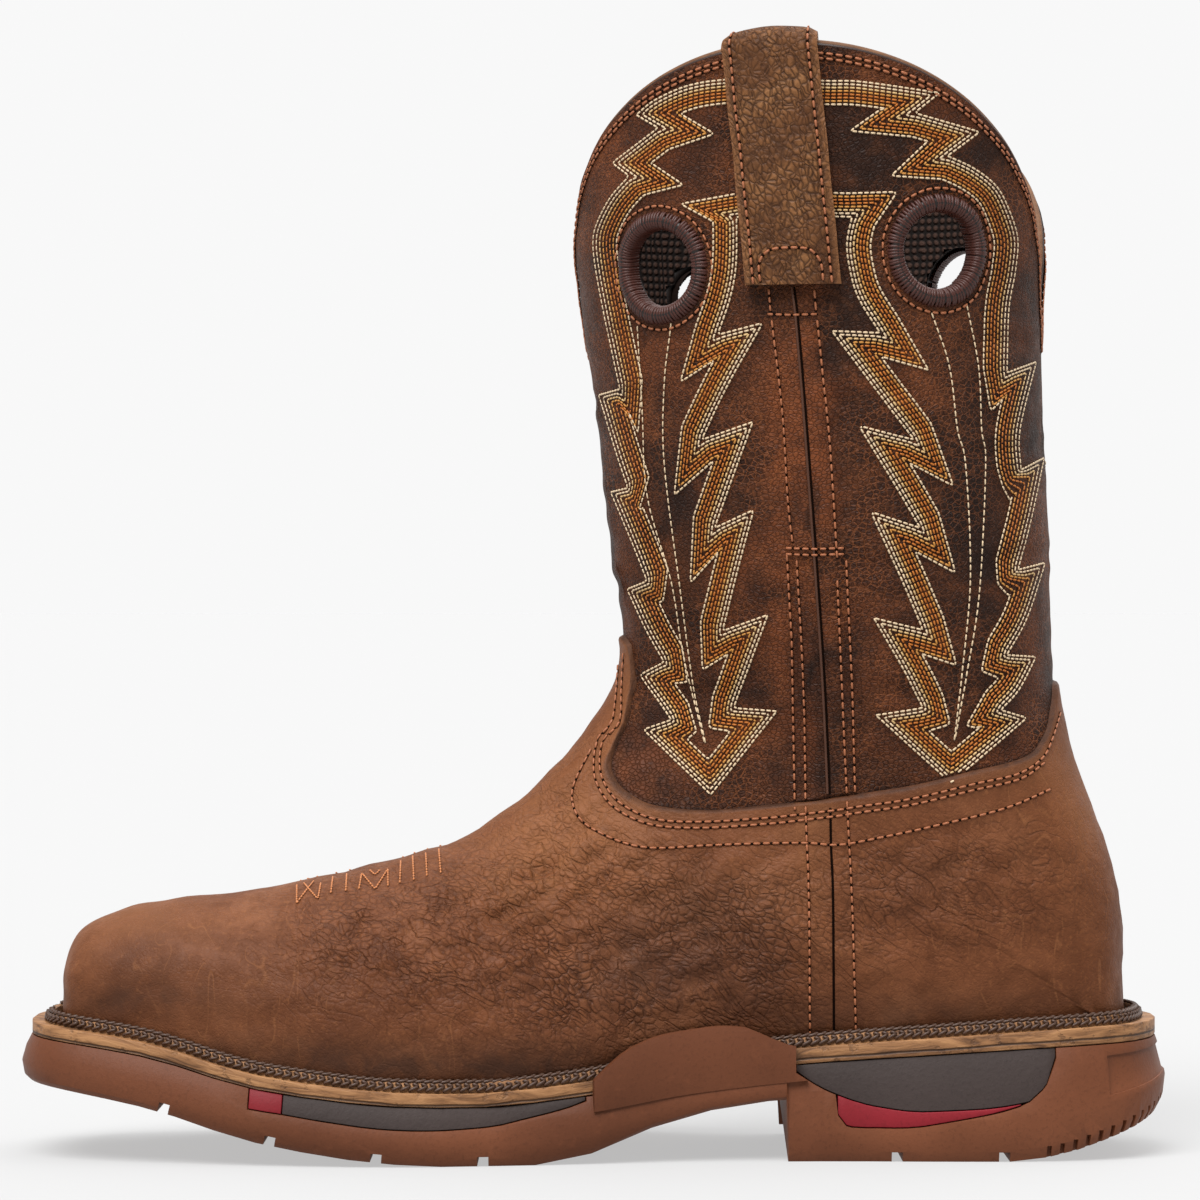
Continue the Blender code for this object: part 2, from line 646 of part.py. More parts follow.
def make_inlays(group, grey, red):
    for side in ("medial", "lateral"):
        floor = inlay_floor(FOREFOOT_INLAY_CURVE, FOREFOOT_INLAY)
        inlay("forefoot_insert_" + side, side, FOREFOOT_INLAY_CURVE, floor, seat, group, grey)
        chip_floor = inlay_floor(RED_CHIP_CURVE, FOREFOOT_INLAY)
        inlay("forefoot_accent_" + side, side, RED_CHIP_CURVE, chip_floor, seat, group, red)
        heel_floor = inlay_floor(HEEL_INLAY_CURVE, HEEL_INLAY)
        inlay("heel_insert_" + side, side, HEEL_INLAY_CURVE, heel_floor, seat, group, grey)
        inlay(
            "heel_accent_" + side,
            side,
            RED_WEDGE_CURVE,
            wedge_floor,
            lambda x: inlay_floor(HEEL_INLAY_CURVE, HEEL_INLAY)(x) - GAP,
            group,
            red,
        )


def make_welt(group, material):
    """Flat ledge with a raised stitched rib next to the upper."""

    def ledge(rows):
        return np.minimum(welt_edge_inset(rows) + WELT_LEDGE, welt_hole_inset(rows) - WELT_RIB_WIDTH)

    rings = [
        plan_ring(welt_hole_inset, lambda x: seat(x) + GAP),
        plan_ring(welt_edge_inset, lambda x: seat(x) + GAP),
        plan_ring(welt_edge_inset, welt_top),
        plan_ring(ledge, welt_top),
        plan_ring(lambda rows: ledge(rows) + WELT_RIB_SLOPE, lambda x: welt_top(x) + WELT_RIB),
        plan_ring(welt_hole_inset, lambda x: welt_top(x) + WELT_RIB),
    ]
    return ring_loft("welt", rings, group, material, capped=False)


def make_insole(group, material):
    def edge(rows):
        return foot_inset(rows) + WALL + OVERLAY + INSOLE_CLEARANCE

    rings = [
        plan_ring(edge, lambda x: seat(x) + GAP),
        plan_ring(edge, lambda x: seat(x) + GAP + INSOLE_THICKNESS),
    ]
    return ring_loft("insole", rings, group, material)


# Upper
def foot_line():
    """The upper's own foot line: x and y of both sides, just over the seat."""
    lines = {}
    for side in ("medial", "lateral"):
        rows = rim(side, PLACES)
        lines[side] = inset_points(rows, foot_inset(rows))
    return lines


FOOT_LINE = foot_line()
FOOT_FRONT = float(FOOT_LINE["medial"][0, 0])
FOOT_BACK = float(FOOT_LINE["medial"][-1, 0])


def height_of(share):
    return ANKLE_HEIGHT * min(share, 1.0) + SHAFT_HEIGHT * max(share - 1.0, 0.0)


def section_table(row):
    """A row of SECTIONS with F x, F z, B x and B z in metres."""
    front_x, front_h, back_x, back_h = row[:4]
    x_front = float(world_x(front_x))
    if back_h is None:
        x_back = FOOT_FRONT + back_x * (FOOT_BACK - FOOT_FRONT)
        z_back = float(seat(x_back)) + GAP
    else:
        x_back = float(world_x(back_x))
        z_back = height_of(back_h)
    return (x_front, height_of(front_h), x_back, z_back, *row[4:])


SECTION_ROWS = [section_table(row) for row in SECTIONS]


def section_at(v):
    """Both sides of the section at row v: dense points from B over the side to F."""
    numbers = spline_rows(SECTION_ROWS, np.array([v]))[0]
    x_front, z_front, x_back, z_back, medial, lateral, widest, top, back, heel, ridge = numbers
    if v <= HEEL_SEAT_ROW:
        x_back = min(max(x_back, FOOT_FRONT), FOOT_BACK)
        z_back = float(seat(x_back)) + GAP
    shaft = smooth_step(v, HEEL_SEAT_ROW, SHAFT_ROW)
    unit = BALL_WIDTH * (1 - shaft) + SHAFT_WIDTH * shaft
    y_front = ridge * BALL_WIDTH
    sides = {}
    for side, sign, share in (("medial", -1.0, medial), ("lateral", 1.0, lateral)):
        line = FOOT_LINE[side]
        foot = abs(float(np.interp(x_back, line[:, 0], line[:, 1]))) if v < HEEL_SEAT_ROW else 0.0
        wide = max(share * unit, foot + LEAST_SPREAD * UPPER_SPREAD)
        low = 1.0 - np.linspace(0.0, 1.0, 30) ** 2
        low_along = widest * (1.0 - low)
        low_y = foot + (wide - foot) * (1.0 - low**heel) ** (1.0 / back)
        shape_x = np.minimum(x_back, FOOT_BACK) + (x_front - x_back) * low_along
        shape_y = np.abs(np.interp(shape_x, line[:, 0], line[:, 1]))
        shape_y = shape_y + (wide - shape_y[-1]) * (1.0 - low**HEEL_SWELL)
        like_seat = smooth_step(v, *HEEL_SHAPE_IN) * (1 - smooth_step(v, *HEEL_SHAPE_OUT))
        low_y = low_y + (shape_y - low_y) * like_seat
        low_y[0] = foot
        angle = np.linspace(0.0, 0.5 * math.pi, 60)[1:]
        high_along = widest + (1.0 - widest) * np.sin(angle) ** (2.0 / top)
        high_y = y_front * sign + (wide - y_front * sign) * np.maximum(np.cos(angle), 0.0) ** (2.0 / top)
        along = np.concatenate([low_along, high_along])
        out = sign * np.concatenate([low_y, high_y])
        x = x_back + (x_front - x_back) * along
        z = z_back + (z_front - z_back) * along
        sides[side] = np.column_stack([x, out, z])
    return sides


def at_shares(points, shares):
    """Points at shares of the way along a dense line."""
    steps = np.linalg.norm(np.diff(points, axis=0), axis=1)
    way = np.concatenate([[0.0], np.cumsum(steps)])
    return np.column_stack([np.interp(shares * way[-1], way, points[:, k]) for k in range(3)])


def seam_shift(v):
    """Keeps the quarter-way column, the side seam, upright over the slanting sections."""
    start, end = SEAM_SHIFT_ROWS
    return SEAM_SHIFT * smooth_step(v, *start) * (1 - smooth_step(v, *end))


def loop_at(v, columns):
    """One row of the upper: medial side from back to front, then lateral from front to back."""
    sides = section_at(v)
    shares = (np.array(columns) + seam_shift(v) * np.sin(2 * math.pi * np.array(columns))) / 0.5
    medial = at_shares(sides["medial"], shares)
    lateral = at_shares(sides["lateral"], shares)[::-1]
    return np.vstack([medial, lateral[1:]])


def way_round(columns):
    """Distance from the back as a share of the loop, 0 to 0.5 and back, for each point of a row."""
    columns = np.array(columns)
    return np.concatenate([columns, columns[::-1][1:]])


def collar_height(around):
    """Two tall ears at the sides and a deep dip at front and back."""
    soft = COLLAR_ROUNDING**0.25
    rise = ((np.sin(2 * math.pi * around) ** 2 + COLLAR_ROUNDING) ** 0.25 - soft) / (1.0 - soft)
    return ANKLE_HEIGHT + SHAFT_HEIGHT - COLLAR_DIP * (1.0 - np.minimum(rise, 1.0))


def topline_height(around):
    return ANKLE_HEIGHT * smooth_curve(TOPLINE, around)


def posed(points):
    """Turns the shaft over the foot and leans it, more and more up the leg."""
    points = np.array(points, float)
    x, y, z = points.T.copy()
    start = SHAFT_START * ANKLE_HEIGHT
    share = smooth_step(z, start, ANKLE_HEIGHT + SHAFT_START * SHAFT_HEIGHT)
    turn = SHAFT_TWIST * share
    axis = world_x(SHAFT_AXIS)
    turned_x = axis + (x - axis) * np.cos(turn) + y * np.sin(turn)
    turned_y = -(x - axis) * np.sin(turn) + y * np.cos(turn)
    lean = SHAFT_LEAN * share
    lift = np.maximum(z - start, 0.0)
    return np.column_stack([turned_x, turned_y + lift * np.sin(0.5 * lean), z - turned_y * np.sin(lean)])


def rows_along(columns):
    """The upper's rows: sole to heel seat, to the topline, a step, then to the collar.
    Gives the points and, for each row, how much of the overlay's thickness it lies inside
    the sections: none in the foot, all just over the topline, none again up the shaft."""
    around = way_round(columns)
    grid_v = np.arange(0.0, LAST_ROW + 1e-9, 0.25)
    grid = np.array([loop_at(v, columns) for v in grid_v])
    first = int(STRAIGHT_ROWS / 0.25)

    def v_at_height(heights):
        return np.array(
            [np.interp(h, grid[first:, j, 2], grid_v[first:]) for j, h in enumerate(heights)]
        )

    def points_at(vs):
        return np.array(
            [[np.interp(v, grid_v, grid[:, j, k]) for k in range(3)] for j, v in enumerate(vs)]
        )

    top_v = v_at_height(topline_height(around))
    collar_v = v_at_height(collar_height(around))
    seat_v = np.minimum(HEEL_SEAT_ROW, top_v - ROWS_BELOW_TOPLINE)
    step_v = v_at_height(topline_height(around) + STEP_RISE)
    rows, sunk = [], []
    for v in FOOT_ROWS:
        share = (v - STRAIGHT_ROWS) / (HEEL_SEAT_ROW - STRAIGHT_ROWS)
        rows.append(points_at(STRAIGHT_ROWS + (seat_v - STRAIGHT_ROWS) * share) if share > 0 else loop_at(v, columns))
        sunk.append(0.0)
    for step in range(1, ANKLE_STEPS + 1):
        rows.append(points_at(seat_v + (top_v - seat_v) * step / ANKLE_STEPS))
        sunk.append(0.0)
    rows.append(points_at(step_v))
    sunk.append(1.0)
    for step in range(1, SHAFT_STEPS + 1):
        share = 1 - (1 - step / SHAFT_STEPS) ** SHAFT_CROWDING
        rows.append(points_at(step_v + (collar_v - step_v) * share))
        sunk.append(1.0 - float(smooth_step(share, 0.0, SINK_END)))
    return np.array(rows), np.array(sunk)


def toe_seam(row, columns):
    """The first row folded onto the toe's middle line, which closes the front of the toe."""
    folded = row.copy()
    middle = row[len(columns) - 1, 1]
    folded[:, 1] = middle
    half = 0.5 * (folded + folded[::-1])
    half[:, 1] = middle
    return half


def make_upper(group, cutters, material):
    columns = COLUMNS
    rows, sunk = rows_along(columns)
    rows = np.concatenate([[toe_seam(rows[0], columns)], rows])
    sunk = np.concatenate([[0.0], sunk])
    in_foot = np.arange(len(rows)) <= len(FOOT_ROWS) + ANKLE_STEPS
    around = way_round(columns)
    count = rows.shape[1]
    strip = ((around >= SEAM_COLUMNS[0] - 1e-9) & (around <= SEAM_COLUMNS[1] + 1e-9)).astype(float)
    strap_foot = ANKLE_HEIGHT + SHAFT_HEIGHT - STRAP_OUTSIDE
    below_strap = rows[:, :, 2] < strap_foot - STRIP_STOP
    raised = SEAM_STRIP * strip[None, :] * below_strap * ~in_foot[:, None]
    lift = raised - OVERLAY * sunk[:, None]
    depth = np.where(in_foot, OVERLAY, OVERLAY * sunk) + WALL
    skin = bmesh.new()
    lift_layer = skin.verts.layers.float.new("lift")
    depth_layer = skin.verts.layers.float.new("depth")
    grid = []
    for i in range(len(rows)):
        line = []
        for j in range(count):
            vert = skin.verts.new(posed(rows[i, j : j + 1])[0])
            vert[lift_layer] = lift[i, j]
            vert[depth_layer] = depth[i]
            line.append(vert)
        grid.append(line)
    for i in range(len(rows) - 1):
        for j in range(count - 1):
            skin.faces.new((grid[i][j], grid[i][j + 1], grid[i + 1][j + 1], grid[i + 1][j]))
    bmesh.ops.remove_doubles(skin, verts=skin.verts, dist=1e-6)
    bmesh.ops.recalc_face_normals(skin, faces=skin.faces)
    skin.normal_update()
    foremost = min(skin.faces, key=lambda face: face.calc_center_median().x)
    if foremost.normal.x > 0:
        bmesh.ops.reverse_faces(skin, faces=skin.faces)
        skin.normal_update()
    thicken(skin, lift_layer, depth_layer)
    mesh = bpy.data.meshes.new("upper")
    skin.to_mesh(mesh)
    skin.free()
    body = bpy.data.objects.new("upper", mesh)
    group.objects.link(body)
    mesh.materials.append(material)
    finish_mesh(body, 40.0)
    for cutter in hole_cutters(cutters):
        boolean(body, cutter, "DIFFERENCE")
    return body


def thicken(skin, lift_layer, depth_layer):
    """Makes the wall between the outer face, at its lift, and the inner face, at its depth."""
    outer = list(skin.verts)
    normals = {vert: vert.normal.copy() for vert in outer}
    edges = [edge for edge in skin.edges if len(edge.link_faces) == 1]
    faces = list(skin.faces)
    inner = {vert: skin.verts.new(vert.co - normals[vert] * vert[depth_layer]) for vert in outer}
    for face in faces:
        skin.faces.new([inner[vert] for vert in reversed(face.verts)])
    for edge in edges:
        a, b = edge.verts
        skin.faces.new((a, b, inner[b], inner[a]))
    for vert in outer:
        vert.co += normals[vert] * vert[lift_layer]
    for vert in skin.verts:
        vert.co.z = max(vert.co.z, float(seat(vert.co.x)) + GAP)


def wall_patch(arounds, heights, side):
    """Outer points and outward normals of the shaft at ways round and heights on one side."""
    grid_v = np.arange(20.0, LAST_ROW + 1e-9, 0.25)
    sign = -1.0 if side == "medial" else 1.0

    points, normals = [], []
    for around in arounds:
        lines = np.array([at_shares(section_at(v)[side], np.array([around / 0.5]))[0] for v in grid_v])
        beside = np.array([at_shares(section_at(v)[side], np.array([around / 0.5 + 0.01]))[0] for v in grid_v])
        for height in heights:
            here = posed([[np.interp(height, lines[:, 2], lines[:, k]) for k in range(3)]])[0]
            there = posed([[np.interp(height, beside[:, 2], beside[:, k]) for k in range(3)]])[0]
            above = posed([[np.interp(height + 0.003, lines[:, 2], lines[:, k]) for k in range(3)]])[0]
            normal = np.cross(there - here, above - here)
            normal = normal / np.linalg.norm(normal)
            if normal[1] * sign < 0:
                normal = -normal
            points.append(here)
            normals.append(normal)
    shape = (len(arounds), len(heights), 3)
    return np.array(points).reshape(shape), np.array(normals).reshape(shape)


def hole_cutters(group):
    """Four finger holes, two in each ear."""
    made = []
    for side in ("medial", "lateral"):
        for number, (spot, drop) in enumerate(HOLE_SPOTS):
            points, normals = wall_patch([spot], [ANKLE_HEIGHT + SHAFT_HEIGHT - drop], side)
            centre, normal = Vector(points[0, 0]), Vector(normals[0, 0])
            work = bmesh.new()
            bmesh.ops.create_cone(
                work,
                cap_ends=True,
                segments=20,
                radius1=0.5 * HOLE_DIAMETER,
                radius2=0.5 * HOLE_DIAMETER,
                depth=10 * WALL,
            )
            turn = normal.to_track_quat("Z", "Y").to_matrix().to_4x4()
            bmesh.ops.transform(work, matrix=Matrix.Translation(centre) @ turn, verts=work.verts)
            mesh = bpy.data.meshes.new("hole_" + side + str(number))
            work.to_mesh(mesh)
            work.free()
            body = bpy.data.objects.new(mesh.name, mesh)
            group.objects.link(body)
            made.append(as_cutter(body))
    return made


def make_strap(side, group, material):
    """A pull strap folded over the collar: outside leg, fold and inside leg in one strip."""
    top = ANKLE_HEIGHT + SHAFT_HEIGHT
    half = 0.5 * STRAP_WIDTH / (SHAFT_GIRTH * SHAFT_WIDTH)
    arounds = 0.25 + half * np.linspace(-1.0, 1.0, 5)
    outside = np.linspace(top - STRAP_OUTSIDE, top, 7)
    inside = np.linspace(top, top - STRAP_INSIDE, 6)
    out_points, out_normals = wall_patch(arounds, outside, side)
    in_points, in_normals = wall_patch(arounds, inside, side)
    rows = [out_points[:, k] + out_normals[:, k] * STRAP_GAP for k in range(len(outside))]
    crest, out = out_points[:, -1], out_normals[:, -1]
    fold = 0.5 * WALL + STRAP_GAP
    up = np.array([0.0, 0.0, 1.0])
    for angle in np.linspace(0.0, math.pi, 7)[1:-1]:
        rows.append(crest - out * (0.5 * WALL) + out * fold * math.cos(angle) + up * (fold * math.sin(angle)))
    for k in range(len(inside)):
        rows.append(in_points[:, k] - in_normals[:, k] * (WALL + STRAP_GAP))
    count = len(arounds)
    points = np.vstack(rows)
    faces = []
    for i in range(len(rows) - 1):
        for j in range(count - 1):
            a = i * count + j
            quad = (a, a + 1, a + count + 1, a + count)
            faces.append(quad)
    body = mesh_object("pull_strap_" + side, points, faces, group, material)
    outward = Vector(out_normals[2, 2])
    body.data.update()
    if body.data.polygons[0].normal.dot(outward) < 0:
        body.data.flip_normals()
    thick = body.modifiers.new("thickness", "SOLIDIFY")
    thick.thickness = STRAP_THICKNESS
    thick.offset = 1.0
    return body


def main():
    clear_scene()
    boot = collection_named("western_work_boot")
    cutters = collection_named("cutters", hidden=True)
    gum = material_named("gum_rubber", (0.235, 0.105, 0.055), 0.55)
    welt_leather = material_named("welt_leather", (0.36, 0.20, 0.085), 0.60)
    foot_leather = material_named("foot_leather", (0.175, 0.080, 0.035), 0.55)
    strap_leather = material_named("strap_leather", (0.16, 0.075, 0.038), 0.60)
    grey = material_named("grey_insert", (0.045, 0.043, 0.042), 0.55)
    red = material_named("red_accent", (0.42, 0.02, 0.045), 0.50)
    board = material_named("insole_foam", (0.06, 0.04, 0.03), 0.85)
    make_outsole(boot, cutters, gum)
    make_inlays(boot, grey, red)
    make_welt(boot, welt_leather)
    make_insole(boot, board)
    make_upper(boot, cutters, foot_leather)
    for side in ("medial", "lateral"):
        make_strap(side, boot, strap_leather)


main()
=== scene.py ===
"""Looks of the western work boot. Same frame as the CAD part: metres, +Z up, toe to -X,
medial side to -Y and toward the camera.

The upper is lofted again from the part's own sections, on a finer grid. Seams, embroidery
and creases are placed in the picture's pixels (1200 x 1200): a line of pixels is cast from
the camera onto the medial side and read there as grid rows and columns, so the lateral
side takes the same rows and columns on its own half.
"""

import math

import bpy
import numpy as np
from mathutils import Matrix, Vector
from mathutils.bvhtree import BVHTree


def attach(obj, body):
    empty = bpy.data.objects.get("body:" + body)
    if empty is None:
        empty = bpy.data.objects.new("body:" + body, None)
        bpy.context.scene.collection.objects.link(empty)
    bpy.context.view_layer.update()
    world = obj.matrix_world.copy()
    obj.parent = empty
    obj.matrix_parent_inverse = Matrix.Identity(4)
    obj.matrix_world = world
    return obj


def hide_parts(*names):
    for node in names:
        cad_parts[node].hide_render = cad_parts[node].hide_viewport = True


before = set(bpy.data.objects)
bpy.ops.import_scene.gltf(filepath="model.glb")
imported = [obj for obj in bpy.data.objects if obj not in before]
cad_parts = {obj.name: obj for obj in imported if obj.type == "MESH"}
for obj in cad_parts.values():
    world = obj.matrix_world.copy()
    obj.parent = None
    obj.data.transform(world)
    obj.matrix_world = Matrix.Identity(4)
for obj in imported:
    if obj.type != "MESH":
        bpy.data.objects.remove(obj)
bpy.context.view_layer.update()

# Sizes and tables of the part, in metres

LENGTH = 0.315
ORIGIN_SHARE = 0.7365
BALL_WIDTH = 0.112
HEEL_WIDTH = 0.078
SHAFT_WIDTH = 0.112
SHAFT_GIRTH = 3.3
ANKLE_HEIGHT = 0.150
SHAFT_HEIGHT = 0.1475
COLLAR_DIP = 0.0745
WALL = 0.0022
OVERLAY = 0.0015
SEAM_STRIP = 0.0008
HEEL_HEIGHT = 0.0322
FOREFOOT_THICKNESS = 0.0155
TOE_SPRING = 0.0215
SOLE_FLARE = 0.0028
WELT_REACH = 0.0088
WELT_THICKNESS = 0.0036
WELT_LEDGE = 0.0040
WELT_RIB = 0.0028
WELT_RIB_WIDTH = 0.0016
WELT_DRAWN_IN = ((0.478, 0.500), (0.690, 0.712))
UPPER_SPREAD = 0.0045
WRAP_THICKNESS = 0.0026
WRAP_INSET = 0.0002
STRAP_THICKNESS = 0.0034
STRAP_OUTSIDE = 0.0610
STRAP_INSIDE = 0.0480
GAP = 0.0003
STRAP_GAP = 0.0006
SHAFT_TWIST = math.radians(8.8)
SHAFT_LEAN = math.radians(3.6)
SHAFT_AXIS = 0.70
SHAFT_START = 0.60
OUTLINE = (
    # x, medial, lateral
    (0.000, 0.100, 0.045),
    (0.004, 0.190, 0.135),
    (0.016, 0.270, 0.215),
    (0.040, 0.330, 0.280),
    (0.080, 0.375, 0.335),
    (0.140, 0.418, 0.398),
    (0.210, 0.452, 0.462),
    (0.290, 0.474, 0.510),
    (0.370, 0.465, 0.532),
    (0.450, 0.425, 0.517),
    (0.550, 0.405, 0.495),
    (0.650, 0.442, 0.497),
    (0.740, 0.483, 0.512),
    (0.820, 0.496, 0.513),
    (0.890, 0.490, 0.503),
    (0.940, 0.448, 0.460),
    (0.972, 0.368, 0.380),
    (0.992, 0.230, 0.242),
    (1.000, 0.075, 0.085),
)
TOE_CURVE = ((0.0, 1.0), (0.06, 0.86), (0.12, 0.69), (0.206, 0.31), (0.264, 0.15), (0.32, 0.04), (0.37, 0.0))
THICKNESS_CURVE = ((0.0, 0.775), (0.106, 0.86), (0.20, 0.90), (0.30, 0.97), (0.375, 1.0))
SEAT_CURVE = (
    (0.42, 0.0), (0.496, 0.16), (0.584, 0.44), (0.672, 0.62), (0.80, 0.79), (0.90, 0.91), (1.0, 1.0),
)
REACH_CURVE = ((0.0, 1.0), (0.10, 0.95), (0.30, 0.80), (0.45, 0.82), (0.60, 0.90), (0.75, 0.92), (1.0, 1.0))
SPREAD_CURVE = (
    (0.0, 0.55), (0.20, 0.62), (0.40, 0.80), (0.55, 1.0), (0.75, 1.0), (0.90, 1.0), (0.96, 0.90),
    (1.0, 0.60),
)
SECTIONS = (
    # F x,    F h,   B x,    B h,   medial, lateral, widest, round, back, heel, ridge
    (0.0356, 0.333, 0.000, None, 0.000, 0.000, 0.36, 2.40, 1.00, 2.1, -0.028),
    (0.0400, 0.375, 0.005, None, 0.000, 0.000, 0.36, 2.40, 1.00, 2.1, -0.029),
    (0.0514, 0.408, 0.018, None, 0.000, 0.000, 0.36, 2.40, 1.00, 2.1, -0.030),
    (0.0743, 0.436, 0.049, None, 0.000, 0.000, 0.35, 2.40, 1.00, 2.1, -0.034),
    (0.1110, 0.457, 0.094, None, 0.000, 0.000, 0.33, 2.36, 1.00, 2.1, -0.038),
    (0.1746, 0.472, 0.166, None, 0.300, 0.300, 0.31, 2.28, 1.00, 2.1, -0.042),
    (0.2444, 0.496, 0.252, None, 0.415, 0.440, 0.29, 2.16, 1.00, 2.1, -0.044),
    (0.3175, 0.533, 0.341, None, 0.420, 0.468, 0.27, 2.05, 1.00, 2.1, -0.042),
    (0.3780, 0.569, 0.430, None, 0.402, 0.450, 0.25, 1.95, 1.00, 2.1, -0.036),
    (0.4222, 0.627, 0.523, None, 0.358, 0.400, 0.26, 1.90, 1.00, 2.1, -0.026),
    (0.4570, 0.690, 0.622, None, 0.328, 0.362, 0.29, 1.90, 1.00, 2.1, -0.016),
    (0.4810, 0.745, 0.725, None, 0.318, 0.338, 0.33, 1.90, 1.00, 2.1, -0.010),
    (0.4965, 0.788, 0.828, None, 0.322, 0.332, 0.38, 1.92, 1.00, 2.1, -0.005),
    (0.5086, 0.825, 0.911, None, 0.316, 0.324, 0.42, 1.95, 1.30, 2.2, 0.000),
    (0.5160, 0.859, 0.966, None, 0.314, 0.320, 0.45, 1.97, 2.20, 2.8, 0.000),
    (0.5190, 0.880, 1.000, None, 0.313, 0.318, 0.46, 2.00, 2.50, 3.0, 0.000),
    (0.5210, 0.900, 0.9625, 0.313, 0.314, 0.318, 0.47, 2.00, 2.50, 3.0, 0.000),
    (0.5220, 0.923, 0.9648, 0.373, 0.315, 0.318, 0.47, 2.00, 2.50, 3.0, 0.000),
    (0.5210, 0.947, 0.9620, 0.440, 0.318, 0.320, 0.48, 2.02, 2.50, 3.0, 0.000),
    (0.5200, 0.973, 0.9556, 0.507, 0.324, 0.325, 0.48, 2.04, 2.40, 2.9, 0.000),
    (0.5187, 1.005, 0.9460, 0.580, 0.332, 0.332, 0.49, 2.05, 2.35, 2.7, 0.000),
    (0.5168, 1.041, 0.9327, 0.657, 0.343, 0.343, 0.50, 2.06, 2.30, 2.6, 0.000),
    (0.5140, 1.088, 0.9200, 0.733, 0.358, 0.358, 0.50, 2.08, 2.25, 2.5, 0.000),
    (0.5120, 1.142, 0.9105, 0.827, 0.375, 0.375, 0.50, 2.08, 2.20, 2.4, 0.000),
    (0.5086, 1.203, 0.9057, 0.933, 0.395, 0.395, 0.50, 2.10, 2.10, 2.3, 0.000),
    (0.5050, 1.285, 0.9013, 1.068, 0.416, 0.416, 0.50, 2.10, 2.10, 2.2, 0.000),
    (0.5006, 1.380, 0.8978, 1.217, 0.437, 0.437, 0.50, 2.12, 2.10, 2.1, 0.000),
    (0.4930, 1.488, 0.8946, 1.373, 0.458, 0.458, 0.50, 2.12, 2.10, 2.1, 0.000),
    (0.4857, 1.610, 0.8940, 1.556, 0.478, 0.478, 0.50, 2.12, 2.10, 2.1, 0.000),
    (0.4790, 1.760, 0.9030, 1.760, 0.496, 0.496, 0.50, 2.12, 2.10, 2.1, 0.000),
    (0.4746, 2.050, 0.9110, 2.050, 0.512, 0.512, 0.50, 2.12, 2.10, 2.1, 0.000),
)
HEEL_SEAT_ROW = 15
SHAFT_ROW = 26
SEAM_SHIFT = 0.045
SEAM_SHIFT_ROWS = ((9.0, 15.0), (17.0, 27.0))
HEEL_SHAPE_IN = (8.0, 12.0)
HEEL_SHAPE_OUT = (15.5, 22.0)
HEEL_SWELL = 2.1
LEAST_SPREAD = 0.4
COLLAR_ROUNDING = 0.0005
LAST_ROW = len(SECTIONS) - 1
TOPLINE = (
    (0.000, 0.863), (0.020, 0.857), (0.0375, 0.820), (0.0625, 0.763), (0.080, 0.734), (0.105, 0.716),
    (0.140, 0.700), (0.190, 0.672), (0.250, 0.651), (0.275, 0.639), (0.3075, 0.631), (0.3375, 0.637),
    (0.375, 0.663), (0.405, 0.696), (0.4225, 0.726), (0.434, 0.768), (0.446, 0.826), (0.460, 0.890),
    (0.466, 0.926), (0.482, 0.942), (0.500, 0.945),
)
STRAIGHT_ROWS = 8
ROWS_BELOW_TOPLINE = 1.5
STEP_RISE = 0.0006
SEAM_COLUMNS = (0.2320, 0.2680)
HOLE_SPOTS = ((0.1385, 0.0545), (0.3490, 0.0580))
CURVE_STEPS = 40


def smooth_step(value, start, end):
    share = np.clip((value - start) / (end - start), 0.0, 1.0)
    return share * share * (3.0 - 2.0 * share)


def smooth_curve(table, places):
    """A curve through a table of (place, value) that doesn't overshoot, held level past its ends."""
    xs, ys = np.array(table, float).T
    steps = np.diff(xs)
    slopes = np.diff(ys) / steps
    tangents = np.zeros(len(xs))
    same_way = slopes[:-1] * slopes[1:] > 0
    sums = np.where(same_way, slopes[:-1] + slopes[1:], 1.0)
    tangents[1:-1] = np.where(same_way, 2.0 * slopes[:-1] * slopes[1:] / sums, 0.0)
    tangents[0], tangents[-1] = slopes[0], slopes[-1]
    places = np.clip(places, xs[0], xs[-1])
    cell = np.clip(np.searchsorted(xs, places, side="right") - 1, 0, len(xs) - 2)
    t = (places - xs[cell]) / steps[cell]
    return (
        ys[cell] * (1 + 2 * t) * (1 - t) ** 2
        + tangents[cell] * steps[cell] * t * (1 - t) ** 2
        + ys[cell + 1] * t * t * (3 - 2 * t)
        + tangents[cell + 1] * steps[cell] * t * t * (t - 1)
    )


def between(p0, p1, p2, p3, t):
    """A Catmull-Rom point at share t of the way from p1 to p2."""
    return 0.5 * (
        2 * p1 + (p2 - p0) * t + (2 * p0 - 5 * p1 + 4 * p2 - p3) * t**2 + (3 * p1 - p0 - 3 * p2 + p3) * t**3
    )


def lengths_along(points):
    """Length of a path up to each of its points."""
    return np.concatenate([[0.0], np.cumsum(np.linalg.norm(np.diff(points, axis=0), axis=1))])


def along_path(places, lengths, field):
    """Values of a field given at lengths, read at places."""
    return np.stack([np.interp(places, lengths, field[:, k]) for k in range(3)], axis=1)


def unit(vectors, least=1e-9):
    return vectors / np.maximum(np.linalg.norm(vectors, axis=-1, keepdims=True), least)


def quads(*corners):
    return np.stack(corners, axis=-1).reshape(-1, 4)


def spline_rows(rows, places):
    """A Catmull-Rom spline through evenly spaced rows of numbers."""
    rows = np.array(rows, float)
    ends = np.vstack([2 * rows[0] - rows[1], rows, 2 * rows[-1] - rows[-2]])
    cell = np.clip(np.floor(places).astype(int), 0, len(rows) - 2)
    return between(*(ends[cell + k] for k in range(4)), (places - cell)[:, None])


def world_x(share):
    return LENGTH * (np.asarray(share, float) - ORIGIN_SHARE)


def share_of_x(x):
    return np.asarray(x, float) / LENGTH + ORIGIN_SHARE


